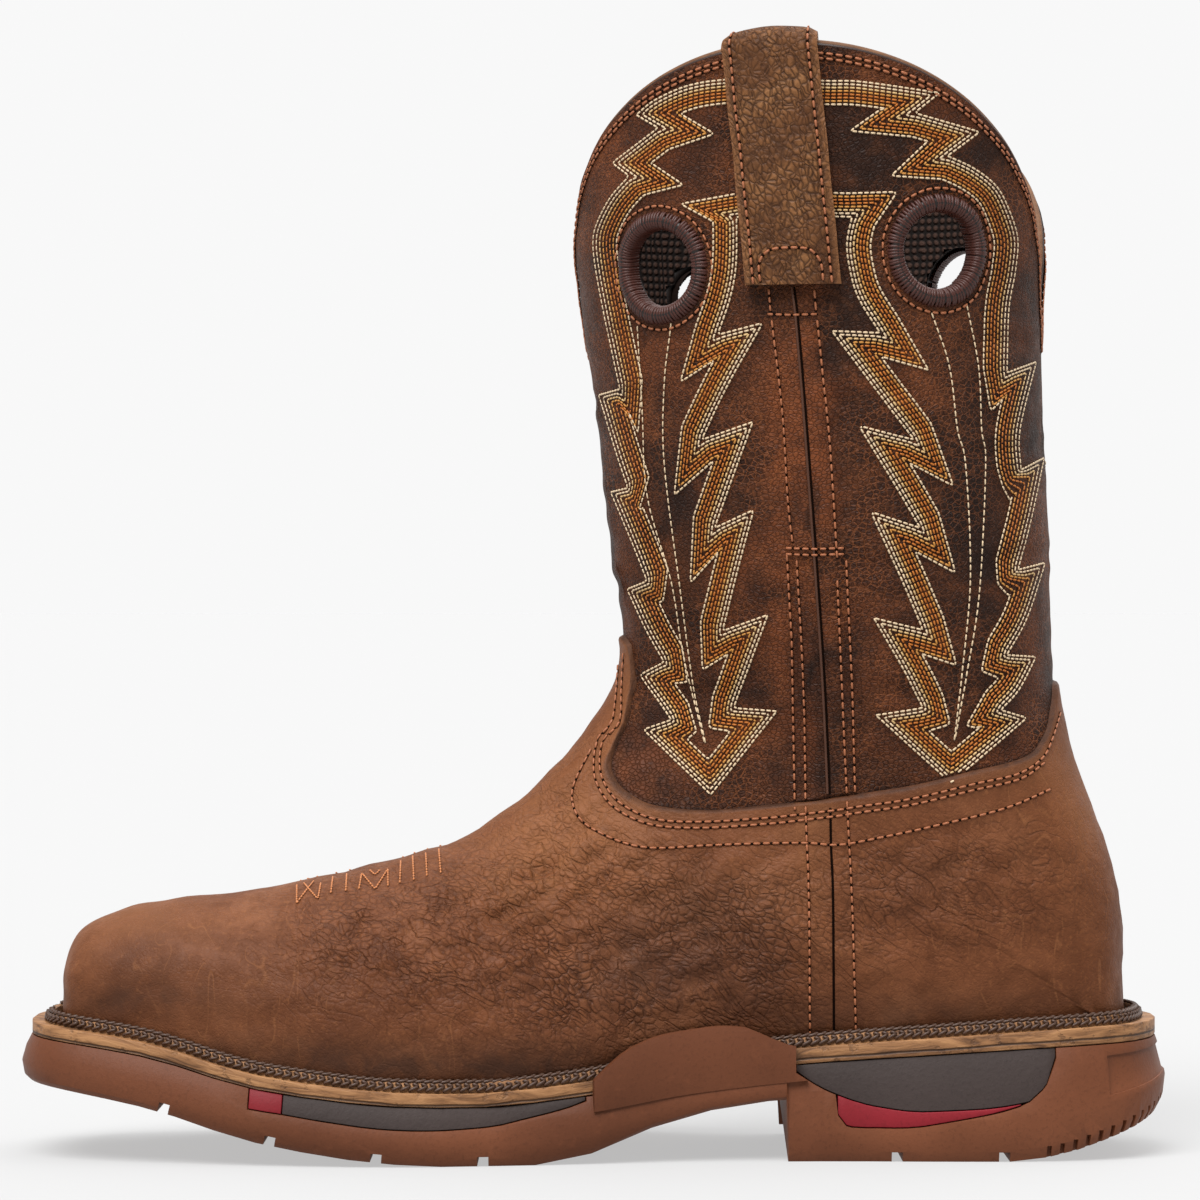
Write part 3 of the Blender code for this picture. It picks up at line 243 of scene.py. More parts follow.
def seat(x):
    share = share_of_x(x)
    toe = TOE_SPRING * smooth_curve(TOE_CURVE, share)
    front = FOREFOOT_THICKNESS * smooth_curve(THICKNESS_CURVE, share)
    return toe + front + (HEEL_HEIGHT - FOREFOOT_THICKNESS) * smooth_curve(SEAT_CURVE, share)


def welt_top(x):
    heel_growth = 1.0 + 0.30 * smooth_curve(SEAT_CURVE, share_of_x(x))
    return seat(x) + GAP + WELT_THICKNESS * heel_growth


def dense_outline():
    """Outline points and outward normals of both sides, from toe to heel."""
    places = np.arange(0.0, len(OUTLINE) - 1 + 1e-9, 1.0 / CURVE_STEPS)
    x_share, medial, lateral = spline_rows(OUTLINE, places).T
    rear = smooth_step(x_share, 0.45, 0.75)
    unit = BALL_WIDTH * (1 - rear) + HEEL_WIDTH * rear
    x = world_x(np.clip(x_share, 0.0, 1.0))
    sides = {}
    for side, half in (("medial", -medial * unit), ("lateral", lateral * unit)):
        along_x = np.gradient(x)
        along_y = np.gradient(half)
        size = np.hypot(along_x, along_y)
        turn = 1.0 if side == "medial" else -1.0
        sides[side] = np.column_stack([x, half, turn * along_y / size, -turn * along_x / size])
    return places, sides


PLACES, SIDES = dense_outline()


def rim(side, places):
    """Outline rows (x, y, normal x, normal y) of one side at places along its table."""
    return np.column_stack([np.interp(places, PLACES, SIDES[side][:, k]) for k in range(4)])


def inset_points(rows, inset):
    """Rim rows moved inwards along their normals."""
    return rows[:, :2] - rows[:, 2:] * np.asarray(inset, float).reshape(-1, 1)


def foot_inset(rows):
    share = share_of_x(rows[:, 0])
    return SOLE_FLARE + WELT_REACH * smooth_curve(REACH_CURVE, share)


def welt_hole_inset(rows):
    share = share_of_x(rows[:, 0])
    return foot_inset(rows) - UPPER_SPREAD * smooth_curve(SPREAD_CURVE, share) - GAP


def welt_edge_inset(rows):
    """The welt's edge, which draws in behind the arch wrap."""
    share = share_of_x(rows[:, 0])
    start, end = WELT_DRAWN_IN
    behind = smooth_step(share, *start) * (1 - smooth_step(share, *end))
    return SOLE_FLARE + (WRAP_INSET + WRAP_THICKNESS + GAP - SOLE_FLARE) * behind


def foot_line():
    """The upper's own foot line: x and y of both sides, just over the seat."""
    lines = {}
    for side in ("medial", "lateral"):
        rows = rim(side, PLACES)
        lines[side] = inset_points(rows, foot_inset(rows))
    return lines


FOOT_LINE = foot_line()
FOOT_FRONT = float(FOOT_LINE["medial"][0, 0])
FOOT_BACK = float(FOOT_LINE["medial"][-1, 0])


def height_of(share):
    return ANKLE_HEIGHT * min(share, 1.0) + SHAFT_HEIGHT * max(share - 1.0, 0.0)


def section_table(row):
    """A row of SECTIONS with F x, F z, B x and B z in metres."""
    front_x, front_h, back_x, back_h = row[:4]
    x_front = float(world_x(front_x))
    if back_h is None:
        x_back = FOOT_FRONT + back_x * (FOOT_BACK - FOOT_FRONT)
        z_back = float(seat(x_back)) + GAP
    else:
        x_back = float(world_x(back_x))
        z_back = height_of(back_h)
    return (x_front, height_of(front_h), x_back, z_back, *row[4:])


SECTION_ROWS = [section_table(row) for row in SECTIONS]


def section_at(v):
    """Both sides of the section at row v: dense points from B over the side to F."""
    numbers = spline_rows(SECTION_ROWS, np.array([v]))[0]
    x_front, z_front, x_back, z_back, medial, lateral, widest, top, back, heel, ridge = numbers
    if v <= HEEL_SEAT_ROW:
        x_back = min(max(x_back, FOOT_FRONT), FOOT_BACK)
        z_back = float(seat(x_back)) + GAP
    shaft = smooth_step(v, HEEL_SEAT_ROW, SHAFT_ROW)
    unit = BALL_WIDTH * (1 - shaft) + SHAFT_WIDTH * shaft
    y_front = ridge * BALL_WIDTH
    sides = {}
    for side, sign, share in (("medial", -1.0, medial), ("lateral", 1.0, lateral)):
        line = FOOT_LINE[side]
        foot = abs(float(np.interp(x_back, line[:, 0], line[:, 1]))) if v < HEEL_SEAT_ROW else 0.0
        wide = max(share * unit, foot + LEAST_SPREAD * UPPER_SPREAD)
        low = 1.0 - np.linspace(0.0, 1.0, 30) ** 2
        low_along = widest * (1.0 - low)
        low_y = foot + (wide - foot) * (1.0 - low**heel) ** (1.0 / back)
        shape_x = np.minimum(x_back, FOOT_BACK) + (x_front - x_back) * low_along
        shape_y = np.abs(np.interp(shape_x, line[:, 0], line[:, 1]))
        shape_y = shape_y + (wide - shape_y[-1]) * (1.0 - low**HEEL_SWELL)
        like_seat = smooth_step(v, *HEEL_SHAPE_IN) * (1 - smooth_step(v, *HEEL_SHAPE_OUT))
        low_y = low_y + (shape_y - low_y) * like_seat
        low_y[0] = foot
        angle = np.linspace(0.0, 0.5 * math.pi, 60)[1:]
        high_along = widest + (1.0 - widest) * np.sin(angle) ** (2.0 / top)
        high_y = y_front * sign + (wide - y_front * sign) * np.maximum(np.cos(angle), 0.0) ** (2.0 / top)
        along = np.concatenate([low_along, high_along])
        out = sign * np.concatenate([low_y, high_y])
        x = x_back + (x_front - x_back) * along
        z = z_back + (z_front - z_back) * along
        sides[side] = np.column_stack([x, out, z])
    return sides


def at_shares(points, shares):
    """Points at shares of the way along a dense line."""
    way = lengths_along(points)
    return along_path(shares * way[-1], way, points)


def seam_shift(v):
    """Keeps the quarter-way column, the side seam, upright over the slanting sections."""
    start, end = SEAM_SHIFT_ROWS
    return SEAM_SHIFT * smooth_step(v, *start) * (1 - smooth_step(v, *end))


def loop_at(v, columns):
    """One row of the upper: medial side from back to front, then lateral from front to back."""
    sides = section_at(v)
    shares = (np.array(columns) + seam_shift(v) * np.sin(2 * math.pi * np.array(columns))) / 0.5
    medial = at_shares(sides["medial"], shares)
    lateral = at_shares(sides["lateral"], shares)[::-1]
    return np.vstack([medial, lateral[1:]])


def way_round(columns):
    """Distance from the back as a share of the loop, 0 to 0.5 and back, for each point of a row."""
    columns = np.array(columns)
    return np.concatenate([columns, columns[::-1][1:]])


def collar_height(around):
    """Two tall ears at the sides and a deep dip at front and back."""
    soft = COLLAR_ROUNDING**0.25
    rise = ((np.sin(2 * math.pi * around) ** 2 + COLLAR_ROUNDING) ** 0.25 - soft) / (1.0 - soft)
    return ANKLE_HEIGHT + SHAFT_HEIGHT - COLLAR_DIP * (1.0 - np.minimum(rise, 1.0))


def topline_height(around):
    return ANKLE_HEIGHT * smooth_curve(TOPLINE, around)


def posed(points):
    """Turns the shaft over the foot and leans it, more and more up the leg."""
    points = np.array(points, float)
    x, y, z = points.T.copy()
    start = SHAFT_START * ANKLE_HEIGHT
    share = smooth_step(z, start, ANKLE_HEIGHT + SHAFT_START * SHAFT_HEIGHT)
    turn = SHAFT_TWIST * share
    axis = world_x(SHAFT_AXIS)
    turned_x = axis + (x - axis) * np.cos(turn) + y * np.sin(turn)
    turned_y = -(x - axis) * np.sin(turn) + y * np.cos(turn)
    lean = SHAFT_LEAN * share
    lift = np.maximum(z - start, 0.0)
    return np.column_stack([turned_x, turned_y + lift * np.sin(0.5 * lean), z - turned_y * np.sin(lean)])


# Camera of the picture, and how its pixels lie in the frame
CAMERA = np.array([-0.07305, -1.5, 0.152])
PIXEL = 0.2773e-3
HALF_PICTURE = 600.0
LENS = 162.26
SENSOR = 36.0

# The upper's fine grid, and the floor
SIDE_COLUMNS = 116
GRID_STEP = 0.0625
TOE_ROWS, LOW_ROWS, SEAT_ROWS, FOOT_ROWS, SHAFT_ROWS = 7, 47, 34, 24, 92
BELOW_TOPLINE = 0.0007
FLOOR_WHITE = 0.20
FLOOR_GLOW = 0.482
FLOOR_HALF = 60.0
OUTER_LIFT = 0.00022
JOIN_ROWS = (13.5, 15.75)

# The upper's relief: creases are in millimetres, and the wave has its pitches in pixels
MILLIMETRE = 0.001
STEP_SUNK = 0.22
WAVES = 26
WAVE_HEIGHT = 0.00008
WAVE_PITCHES = (26, 70)
BELOW_STRAP = 0.0052

# Stitches: pitch, width and height, or width and height alone, or for the braid width, height and sink
SEAM_STITCH = (0.0026, 0.0008, 0.00055)
HOLE_STITCH = (0.0024, 0.0008, 0.0005)
FLAME_STITCH = (0.00165, 0.00062, 0.00042)
VEIN_STITCH = (0.0021, 0.00055, 0.0004)
NEEDLE_HOLE_SHADE = 0.0003
SEAM_SIZE = (0.00072, 0.00050)
BUG_SIZE = (0.00066, 0.0005)
BRAID_PITCH = 0.0023
BRAID_STITCH = (0.0011, 0.0010, 0.1)

COLOURS = {
    "cream": (0.66, 0.500, 0.320),
    "pale": (0.60, 0.400, 0.180),
    "gold": (0.52, 0.235, 0.050),
    "orange": (0.44, 0.135, 0.018),
    "brown": (0.34, 0.118, 0.050),
    "rust": (0.52, 0.190, 0.066),
    "maroon": (0.058, 0.0165, 0.0105),
    # dark: painted shade in the needle holes and round the finger holes.
    "dark": (0.010, 0.005, 0.0035),
    "braid": (0.066, 0.032, 0.019),
    # fold: a painted shade line along the collar's top edge.
    "fold": (0.030, 0.012, 0.007),
    "lip": (0.070, 0.024, 0.0105),
    # gap: painted shade in the side seam's gap.
    "gap": (0.0060, 0.0030, 0.0022),
}


# Materials
class Nodes:
    """A short way to write a material's node tree."""

    def __init__(self, name):
        self.material = bpy.data.materials.new(name)
        self.material.use_nodes = True
        self.tree = self.material.node_tree
        self.shader = self.tree.nodes["Principled BSDF"]
        self.place = self.node("ShaderNodeTexCoord").outputs["Object"]

    def node(self, kind, inputs=(), **settings):
        made = self.tree.nodes.new(kind)
        for key, value in settings.items():
            setattr(made, key, value)
        for key, value in dict(inputs).items():
            self.put(made.inputs[key], value)
        return made

    def put(self, socket, value):
        if isinstance(value, bpy.types.NodeSocket):
            self.tree.links.new(value, socket)
        else:
            socket.default_value = value

    def as_colour(self, colour):
        return colour if isinstance(colour, bpy.types.NodeSocket) else (*colour, 1.0)

    def attribute(self, name):
        return self.node("ShaderNodeAttribute", attribute_name=name).outputs["Fac"]

    def math(self, operation, a, b=0.0, clamp=False):
        return self.node("ShaderNodeMath", {0: a, 1: b}, operation=operation, use_clamp=clamp).outputs[0]

    def vector(self, operation, a, inputs):
        return self.node("ShaderNodeVectorMath", {0: a, **inputs}, operation=operation).outputs[0]

    def noise(self, scale, detail=4.0, rough=0.55, distortion=0.0, place=None):
        inputs = {"Scale": scale, "Detail": detail, "Roughness": rough, "Distortion": distortion}
        return self.node("ShaderNodeTexNoise", {"Vector": place or self.place, **inputs}).outputs["Fac"]

    def cells(self, scale, feature="DISTANCE_TO_EDGE", place=None, randomness=1.0):
        inputs = {"Vector": place or self.place, "Scale": scale, "Randomness": randomness}
        return self.node("ShaderNodeTexVoronoi", inputs, feature=feature).outputs["Distance"]

    def warped(self, scale, amount, stretch=(1.0, 1.0, 1.0)):
        """Places shifted by a noise, for cells that don't look drawn with a ruler."""
        noise = self.node("ShaderNodeTexNoise", {"Vector": self.place, "Scale": scale, "Detail": 2.0})
        centred = self.vector("SUBTRACT", noise.outputs["Color"], {1: (0.5, 0.5, 0.5)})
        scaled = self.vector("SCALE", centred, {"Scale": amount})
        return self.stretched(self.vector("ADD", scaled, {1: self.place}), stretch)

    def stretched(self, place, amounts):
        return self.vector("MULTIPLY", place, {1: amounts})

    def ramp(self, value, stops):
        made = self.node("ShaderNodeValToRGB", {"Fac": value})
        elements = made.color_ramp.elements
        while len(elements) < len(stops):
            elements.new(0.5)
        for element, (position, colour) in zip(elements, stops):
            element.position = position
            element.color = (*colour, 1.0)
        return made.outputs["Color"]

    def level(self, value, low, high, to_low=0.0, to_high=1.0):
        inputs = {"From Min": low, "From Max": high, "To Min": to_low, "To Max": to_high}
        return self.node("ShaderNodeMapRange", {"Value": value, **inputs}).outputs["Result"]

    def mix(self, share, a, b):
        inputs = {"Factor": share, 6: self.as_colour(a), 7: self.as_colour(b)}
        return self.node("ShaderNodeMix", inputs, data_type="RGBA").outputs[2]

    def bump(self, height, distance, strength):
        inputs = {"Height": height, "Distance": distance, "Strength": strength}
        return self.node("ShaderNodeBump", inputs).outputs["Normal"]

    def finish(self, colour, roughness, normal=None, specular=0.5):
        inputs = self.shader.inputs
        self.put(inputs["Base Color"], self.as_colour(colour))
        self.put(inputs["Roughness"], roughness)
        self.put(inputs["Specular IOR Level"], specular)
        if normal:
            self.put(inputs["Normal"], normal)
        return self.material

    # Common steps of the leathers and rubbers
    def times(self, a, b, clamp=False):
        return self.math("MULTIPLY", a, b, clamp)

    def total(self, *terms):
        """The sum of (value, share) terms, in their order."""
        parts = [self.times(value, share) for value, share in terms]
        result = parts[0]
        for part in parts[1:]:
            result = self.math("ADD", result, part)
        return result

    def over(self, colour, added, mask, strength):
        """Lays a colour over another where the mask is strong."""
        return self.mix(self.times(mask, strength), colour, added)

    def near(self, distance, width):
        """1 on a line, falling to 0 at a width from it."""
        return self.level(distance, 0.0, width, 1.0, 0.0)

    def leaning(self, degrees, amounts, place):
        """Places turned about the boot's width and stretched, so that creases run aslant."""
        inputs = {"Vector": place, "Angle": math.radians(degrees)}
        turned = self.node("ShaderNodeVectorRotate", inputs, rotation_type="Y_AXIS")
        return self.stretched(turned.outputs["Vector"], amounts)

    def ridged(self, scale, width, distortion, place):
        """Winding creases: 1 in the crease, falling to 0 at the width."""
        value = self.noise(scale, 2.0, 0.5, distortion, place)
        return self.near(self.math("ABSOLUTE", self.math("SUBTRACT", value, 0.5)), width)


def tinted(colour, share):
    return tuple(min(1.0, share * part) for part in colour)


def foot_leather():
    """Oiled tan leather: smooth over the toe, deep broken grain where the foot bends."""
    n = Nodes("foot_leather_looks")
    wrinkled, shade, wear_and_highlight = (n.attribute(name) for name in ("wrinkled", "shade", "wear_and_highlight"))
    large = n.noise(26.0, 4.0, 0.62, 0.6)
    small = n.noise(190.0, 3.0, 0.6, 0.3)
    fine = n.noise(900.0, 2.0, 0.6)
    dark, middle, light = (0.096, 0.0305, 0.0110), (0.138, 0.0465, 0.0175), (0.186, 0.0700, 0.0290)
    colour = n.ramp(large, [(0.32, dark), (0.50, middle), (0.70, light)])
    colour = n.mix(n.level(small, 0.40, 0.72, 0.0, 0.55), colour, (0.076, 0.0235, 0.0078))

    # Grain: cells that lean with the bend of the foot, and longer broken creases
    pebbles = n.cells(540.0, place=n.leaning(-34.0, (0.66, 1.0, 1.12), n.warped(85.0, 0.0070)))
    strong = n.times(wrinkled, n.level(n.noise(52.0, 2.0), 0.34, 0.60, 0.35, 1.0))
    deep = n.times(n.near(pebbles, 0.17), strong, True)
    dished = n.times(n.near(pebbles, 0.42), strong, True)
    broken = n.ridged(190.0, 0.060, 0.6, n.leaning(-38.0, (0.50, 1.0, 1.05), n.place))
    broken = n.times(broken, n.math("ADD", n.times(wrinkled, 0.8), 0.07), True)
    pits = n.near(n.cells(900.0, place=n.warped(260.0, 0.0012)), 0.20)

    # Light veins where the leather is smooth
    veins = n.ridged(30.0, 0.008, 0.5, n.stretched(n.place, (2.1, 2.1, 0.50)))
    veins = n.times(veins, n.math("SUBTRACT", 1.0, wrinkled, True), True)
    veins = n.times(veins, n.level(small, 0.42, 0.60))

    colour = n.over(colour, (0.036, 0.0115, 0.0050), deep, 0.62)
    colour = n.over(colour, (0.042, 0.0135, 0.0055), broken, 0.55)
    colour = n.over(colour, (0.250, 0.098, 0.037), veins, 0.50)
    colour = n.over(colour, (0.240, 0.090, 0.032), n.level(fine, 0.55, 0.75), 0.34)
    # Lighter where rubbed, and a painted highlight over the vamp.
    colour = n.over(colour, (0.250, 0.100, 0.038), wear_and_highlight, n.level(small, 0.25, 0.65, 0.2, 0.9))
    # The shade attribute darkens the colour: painted shade, with the leather's own dark patches, broken up by
    # a mottle.
    mottled = n.level(n.noise(120.0, 3.0, 0.6, 0.8), 0.38, 0.60, 0.75, 1.20)
    colour = n.mix(n.times(shade, mottled, True), colour, (0.034, 0.0150, 0.0088))
    swells = n.noise(95.0, 3.0, 0.5, 0.6)
    height = n.total(
        (deep, -0.35), (dished, -0.60), (broken, -0.75), (fine, 0.12), (pits, -0.10), (swells, 0.55)
    )
    normal = n.bump(height, 0.00052, 0.95)
    return n.finish(colour, n.level(small, 0.3, 0.7, 0.48, 0.64), normal, specular=0.12)


def shaft_leather():
    """Dark waxed leather with a fine pebble and reddish rubbed patches."""
    n = Nodes("shaft_leather_looks")
    wear_and_highlight, shade = n.attribute("wear_and_highlight"), n.attribute("shade")
    large = n.noise(34.0, 5.0, 0.62, 0.8)
    small = n.noise(230.0, 3.0, 0.6, 0.2)
    black, dark = (0.0165, 0.0072, 0.0045), (0.0290, 0.0110, 0.0056)
    red, light = (0.0700, 0.0225, 0.0088), (0.150, 0.046, 0.0155)
    colour = n.ramp(large, [(0.38, black), (0.50, dark), (0.60, red), (0.74, light)])
    rubbed = n.times(wear_and_highlight, n.level(n.noise(60.0, 4.0, 0.65, 0.6), 0.36, 0.60), True)
    line = n.near(n.cells(760.0, place=n.warped(260.0, 0.0012, (1.0, 1.0, 1.2))), 0.17)
    crackle = n.near(n.cells(540.0, place=n.warped(200.0, 0.0016, (1.0, 1.0, 1.2))), 0.12)
    crackle = n.times(crackle, n.level(n.noise(38.0, 3.0, 0.6), 0.42, 0.58), True)
    colour = n.over(colour, (0.165, 0.046, 0.0145), rubbed, 0.85)
    colour = n.over(colour, (0.0150, 0.0062, 0.0038), line, 0.45)
    colour = n.over(colour, (0.230, 0.073, 0.024), crackle, 0.58)
    colour = n.over(colour, (0.115, 0.040, 0.015), n.level(small, 0.56, 0.8), 0.5)
    # The shade attribute darkens the colour: painted shade, with the leather's own dark patches.
    colour = n.mix(shade, colour, (0.0130, 0.0058, 0.0038))
    height = n.total((line, -0.7), (crackle, -0.6), (n.noise(75.0, 3.0, 0.5, 0.5), 1.2))
    normal = n.bump(height, 0.00034, 0.9)
    return n.finish(colour, n.level(small, 0.3, 0.7, 0.44, 0.60), normal, specular=0.11)


def strap_leather():
    """Tan leather with dark creases, smoother along the strap's rims."""
    n = Nodes("strap_leather_looks")
    large = n.noise(55.0, 4.0, 0.6, 0.7)
    small = n.noise(420.0, 3.0, 0.6)
    dark, middle, light = (0.082, 0.031, 0.0110), (0.155, 0.064, 0.0230), (0.225, 0.102, 0.040)
    colour = n.ramp(large, [(0.34, dark), (0.52, middle), (0.70, light)])
    pebbles = n.cells(600.0, place=n.leaning(24.0, (1.1, 1.0, 0.72), n.warped(160.0, 0.0042)))
    strength = n.level(large, 0.36, 0.58, 0.50, 1.0)
    deep = n.times(n.near(pebbles, 0.20), strength, True)
    dished = n.times(n.near(pebbles, 0.42), strength, True)
    fine = n.ridged(240.0, 0.075, 0.7, n.leaning(24.0, (1.1, 1.0, 0.7), n.place))
    colour = n.over(colour, (0.028, 0.0115, 0.0060), deep, 0.75)
    colour = n.over(colour, (0.035, 0.014, 0.0068), fine, 0.60)
    colour = n.over(colour, (0.195, 0.084, 0.034), n.attribute("rim"), 0.85)
    normal = n.bump(n.total((deep, -0.4), (fine, -0.4), (dished, -0.8)), 0.00042, 0.9)
    return n.finish(colour, n.level(small, 0.3, 0.7, 0.46, 0.60), normal, specular=0.12)


def edge_leather(name, low, high):
    """Cut or burnished leather edge with streaks along the boot."""
    n = Nodes(name)
    streak = n.noise(90.0, 6.0, 0.7, 0.3, place=n.warped(30.0, 0.002, (0.25, 0.6, 4.5)))
    nicks = n.noise(260.0, 3.0, 0.6)
    middle = tuple(0.5 * (a + b) for a, b in zip(low, high))
    colour = n.ramp(streak, [(0.34, low), (0.52, middle), (0.68, high)])
    colour = n.over(colour, tinted(low, 0.35), n.level(nicks, 0.60, 0.72), 0.55)
    return n.finish(colour, 0.58, n.bump(n.total((streak, 1.0), (nicks, 0.6)), 0.00035, 0.8), specular=0.22)


def welt_edge():
    """Stacked leather edge: streaks and nicks run along it, with a dark line between layers."""
    n = Nodes("welt_looks")
    rise = n.attribute("rise")
    x, y, _ = n.node("ShaderNodeSeparateXYZ", {0: n.place}).outputs
    along = n.node("ShaderNodeCombineXYZ", {0: n.times(x, 0.16), 1: n.times(y, 0.30), 2: rise})
    streak = n.noise(420.0, 5.0, 0.65, 0.9, along.outputs[0])
    dark, middle, light = (0.095, 0.042, 0.0175), (0.215, 0.100, 0.0400), (0.330, 0.165, 0.070)
    colour = n.ramp(streak, [(0.34, dark), (0.48, middle), (0.64, light)])
    wander = n.math("ADD", rise, n.times(n.noise(60.0, 2.0), 0.0010))
    gap = n.math("ABSOLUTE", n.math("ADD", wander, 0.0026))
    layer = n.level(gap, 0.00012, 0.00042, 1.0, 0.0)
    nicks = n.level(n.noise(240.0, 3.0, 0.65), 0.60, 0.68)
    colour = n.over(colour, (0.024, 0.011, 0.006), layer, 0.85)
    colour = n.over(colour, (0.045, 0.019, 0.009), nicks, 0.45)
    normal = n.bump(n.total((streak, 1.0), (layer, -0.8), (nicks, -0.5)), 0.00045, 0.9)
    return n.finish(colour, 0.55, normal, specular=0.24)


def rubber(name, base, dark, roughness=0.50, grain=0.00006):
    """Moulded rubber: pores and dust, a little darker toward its top."""
    n = Nodes(name)
    height_up = n.node("ShaderNodeSeparateXYZ", {0: n.place}).outputs[2]
    pores = n.noise(900.0, 3.0, 0.7)
    colour = n.mix(n.level(n.noise(18.0, 3.0, 0.5), 0.35, 0.65), dark, base)
    colour = n.over(colour, dark, n.level(height_up, 0.010, 0.026), 0.45)
    colour = n.over(colour, tinted(base, 1.5), n.level(n.noise(240.0, 4.0, 0.65), 0.58, 0.78), 0.18)
    colour = n.over(colour, tinted(dark, 0.55), n.level(pores, 0.52, 0.70), 0.30)
    height = n.total((pores, 1.0), (n.noise(330.0, 3.0, 0.6), 1.0), (n.noise(60.0, 2.0), 1.0))
    return n.finish(colour, roughness, n.bump(height, grain, 0.9), specular=0.16)


def thread(name, colour):
    """Glossy twisted thread. The dark one is the shade in needle holes and cut edges."""
    n = Nodes("thread_" + name)
    if name == "dark":
        return n.finish(colour, 0.9, specular=0.0)
    fibre = n.noise(2600.0, 2.0, 0.6)
    shade = n.mix(n.level(fibre, 0.3, 0.7, 0.0, 0.5), colour, tinted(colour, 0.55))
    return n.finish(shade, 0.44, n.bump(fibre, 0.00006, 0.6), specular=0.32)


def knitted():
    """Dark knitted mesh of the lining."""
    n = Nodes("lining_looks")
    place = n.node("ShaderNodeUVMap").outputs["UV"]
    yarn = n.level(n.cells(1.0, "F1", place=place, randomness=0.0), 0.20, 0.48, 1.0, 0.0)
    colour = n.mix(yarn, (0.0060, 0.0035, 0.0027), (0.050, 0.0255, 0.0180))
    return n.finish(colour, 0.80, n.bump(yarn, 0.0005, 0.9), specular=0.15)


# The upper's fine grid
def upper_grid():
    columns = np.linspace(0.0, 0.5, SIDE_COLUMNS + 1)
    around = way_round(columns)
    grid_v = np.arange(0.0, LAST_ROW + 1e-9, GRID_STEP)
    grid = np.array([loop_at(v, columns) for v in grid_v])
    first, low, high = (int(v / GRID_STEP) for v in (STRAIGHT_ROWS, *JOIN_ROWS))
    share = np.linspace(0.0, 1.0, high - low + 1)[:, None, None]
    straight = grid[low] * (1 - share) + grid[high] * share
    weight = smooth_step(around, 0.14, 0.20) * (1 - smooth_step(around, 0.36, 0.44))
    grid[low:high + 1] += weight[None, :, None] * (straight - grid[low:high + 1])

    def v_at_height(heights):
        return np.array([np.interp(h, grid[first:, j, 2], grid_v[first:]) for j, h in enumerate(heights)])

    def shares(count):
        return np.linspace(0.0, 1.0, count)[1:]

    top = topline_height(around)
    top_v, edge_v, step_v = (v_at_height(top + rise) for rise in (0.0, -BELOW_TOPLINE, STEP_RISE))
    collar_v = v_at_height(collar_height(around))
    seat_v = np.minimum(HEEL_SEAT_ROW, top_v - ROWS_BELOW_TOPLINE)
    toe = np.linspace(0.0, 1.0, TOE_ROWS)
    rows = [np.full(len(around), v) for v in (*toe, *np.linspace(1.0, STRAIGHT_ROWS, LOW_ROWS)[1:])]
    rows += [STRAIGHT_ROWS + (seat_v - STRAIGHT_ROWS) * share for share in shares(SEAT_ROWS)]
    rows += [seat_v + (edge_v - seat_v) * share for share in shares(FOOT_ROWS)]
    sunk = [0.0] * len(rows) + [STEP_SUNK, 1.0]
    rows += [top_v, step_v]
    step = len(rows) - 1
    rows += [step_v + (collar_v - step_v) * share for share in shares(SHAFT_ROWS)]
    sunk += [1.0 - float(smooth_step(share, 0.0, 0.6)) for share in shares(SHAFT_ROWS)]
    rows = np.array(rows)
    points = np.stack([along_path(rows[:, j], grid_v, grid[:, j]) for j in range(len(around))], axis=1)
    return around, points, np.array(sunk), step


def grid_normals(points):
    return unit(np.cross(np.gradient(points, axis=1), np.gradient(points, axis=0)), 1e-12)


def outward_normals(points):
    """Normals of the upper's grid, turned so that they leave the boot."""
    normals = grid_normals(points)
    return -normals if normals[ROWS // 2, COLS // 4, 1] > 0 else normals


AROUND, FLAT, SUNK, STEP_ROW = upper_grid()
ROWS, COLS = FLAT.shape[:2]
BASE = posed(FLAT.reshape(-1, 3)).reshape(FLAT.shape)
NORMALS = outward_normals(BASE)


def picture_place(points):
    """Pixel of each point, seen by the camera."""
    ratio = -CAMERA[1] / (points[..., 1] - CAMERA[1])
    px = HALF_PICTURE + (points[..., 0] - CAMERA[0]) * ratio / PIXEL
    py = HALF_PICTURE - (points[..., 2] - CAMERA[2]) * ratio / PIXEL
    return px, py


def mirrored(values):
    """Values of the medial half on both halves."""
    half = values[:, : SIDE_COLUMNS + 1]
    return np.concatenate([half, half[:, ::-1][:, 1:]], axis=1)


PX, PY = (mirrored(v) for v in picture_place(BASE))


def near_line(line):
    """Distance in pixels of each grid point from a polyline."""
    best = np.full(PX.shape, 1e9)
    for (x0, y0), (x1, y1) in zip(line[:-1], line[1:]):
        dx, dy = x1 - x0, y1 - y0
        t = np.clip(((PX - x0) * dx + (PY - y0) * dy) / (dx * dx + dy * dy), 0.0, 1.0)
        best = np.minimum(best, np.hypot(PX - x0 - t * dx, PY - y0 - t * dy))
    return best


def spots(table):
    """Soft spots: x, y, radius x, radius y in pixels, and amount."""
    total = np.zeros(PX.shape)
    for x, y, rx, ry, amount in table:
        total += amount * np.exp(-(((PX - x) / rx) ** 2) - (((PY - y) / ry) ** 2))
    return total


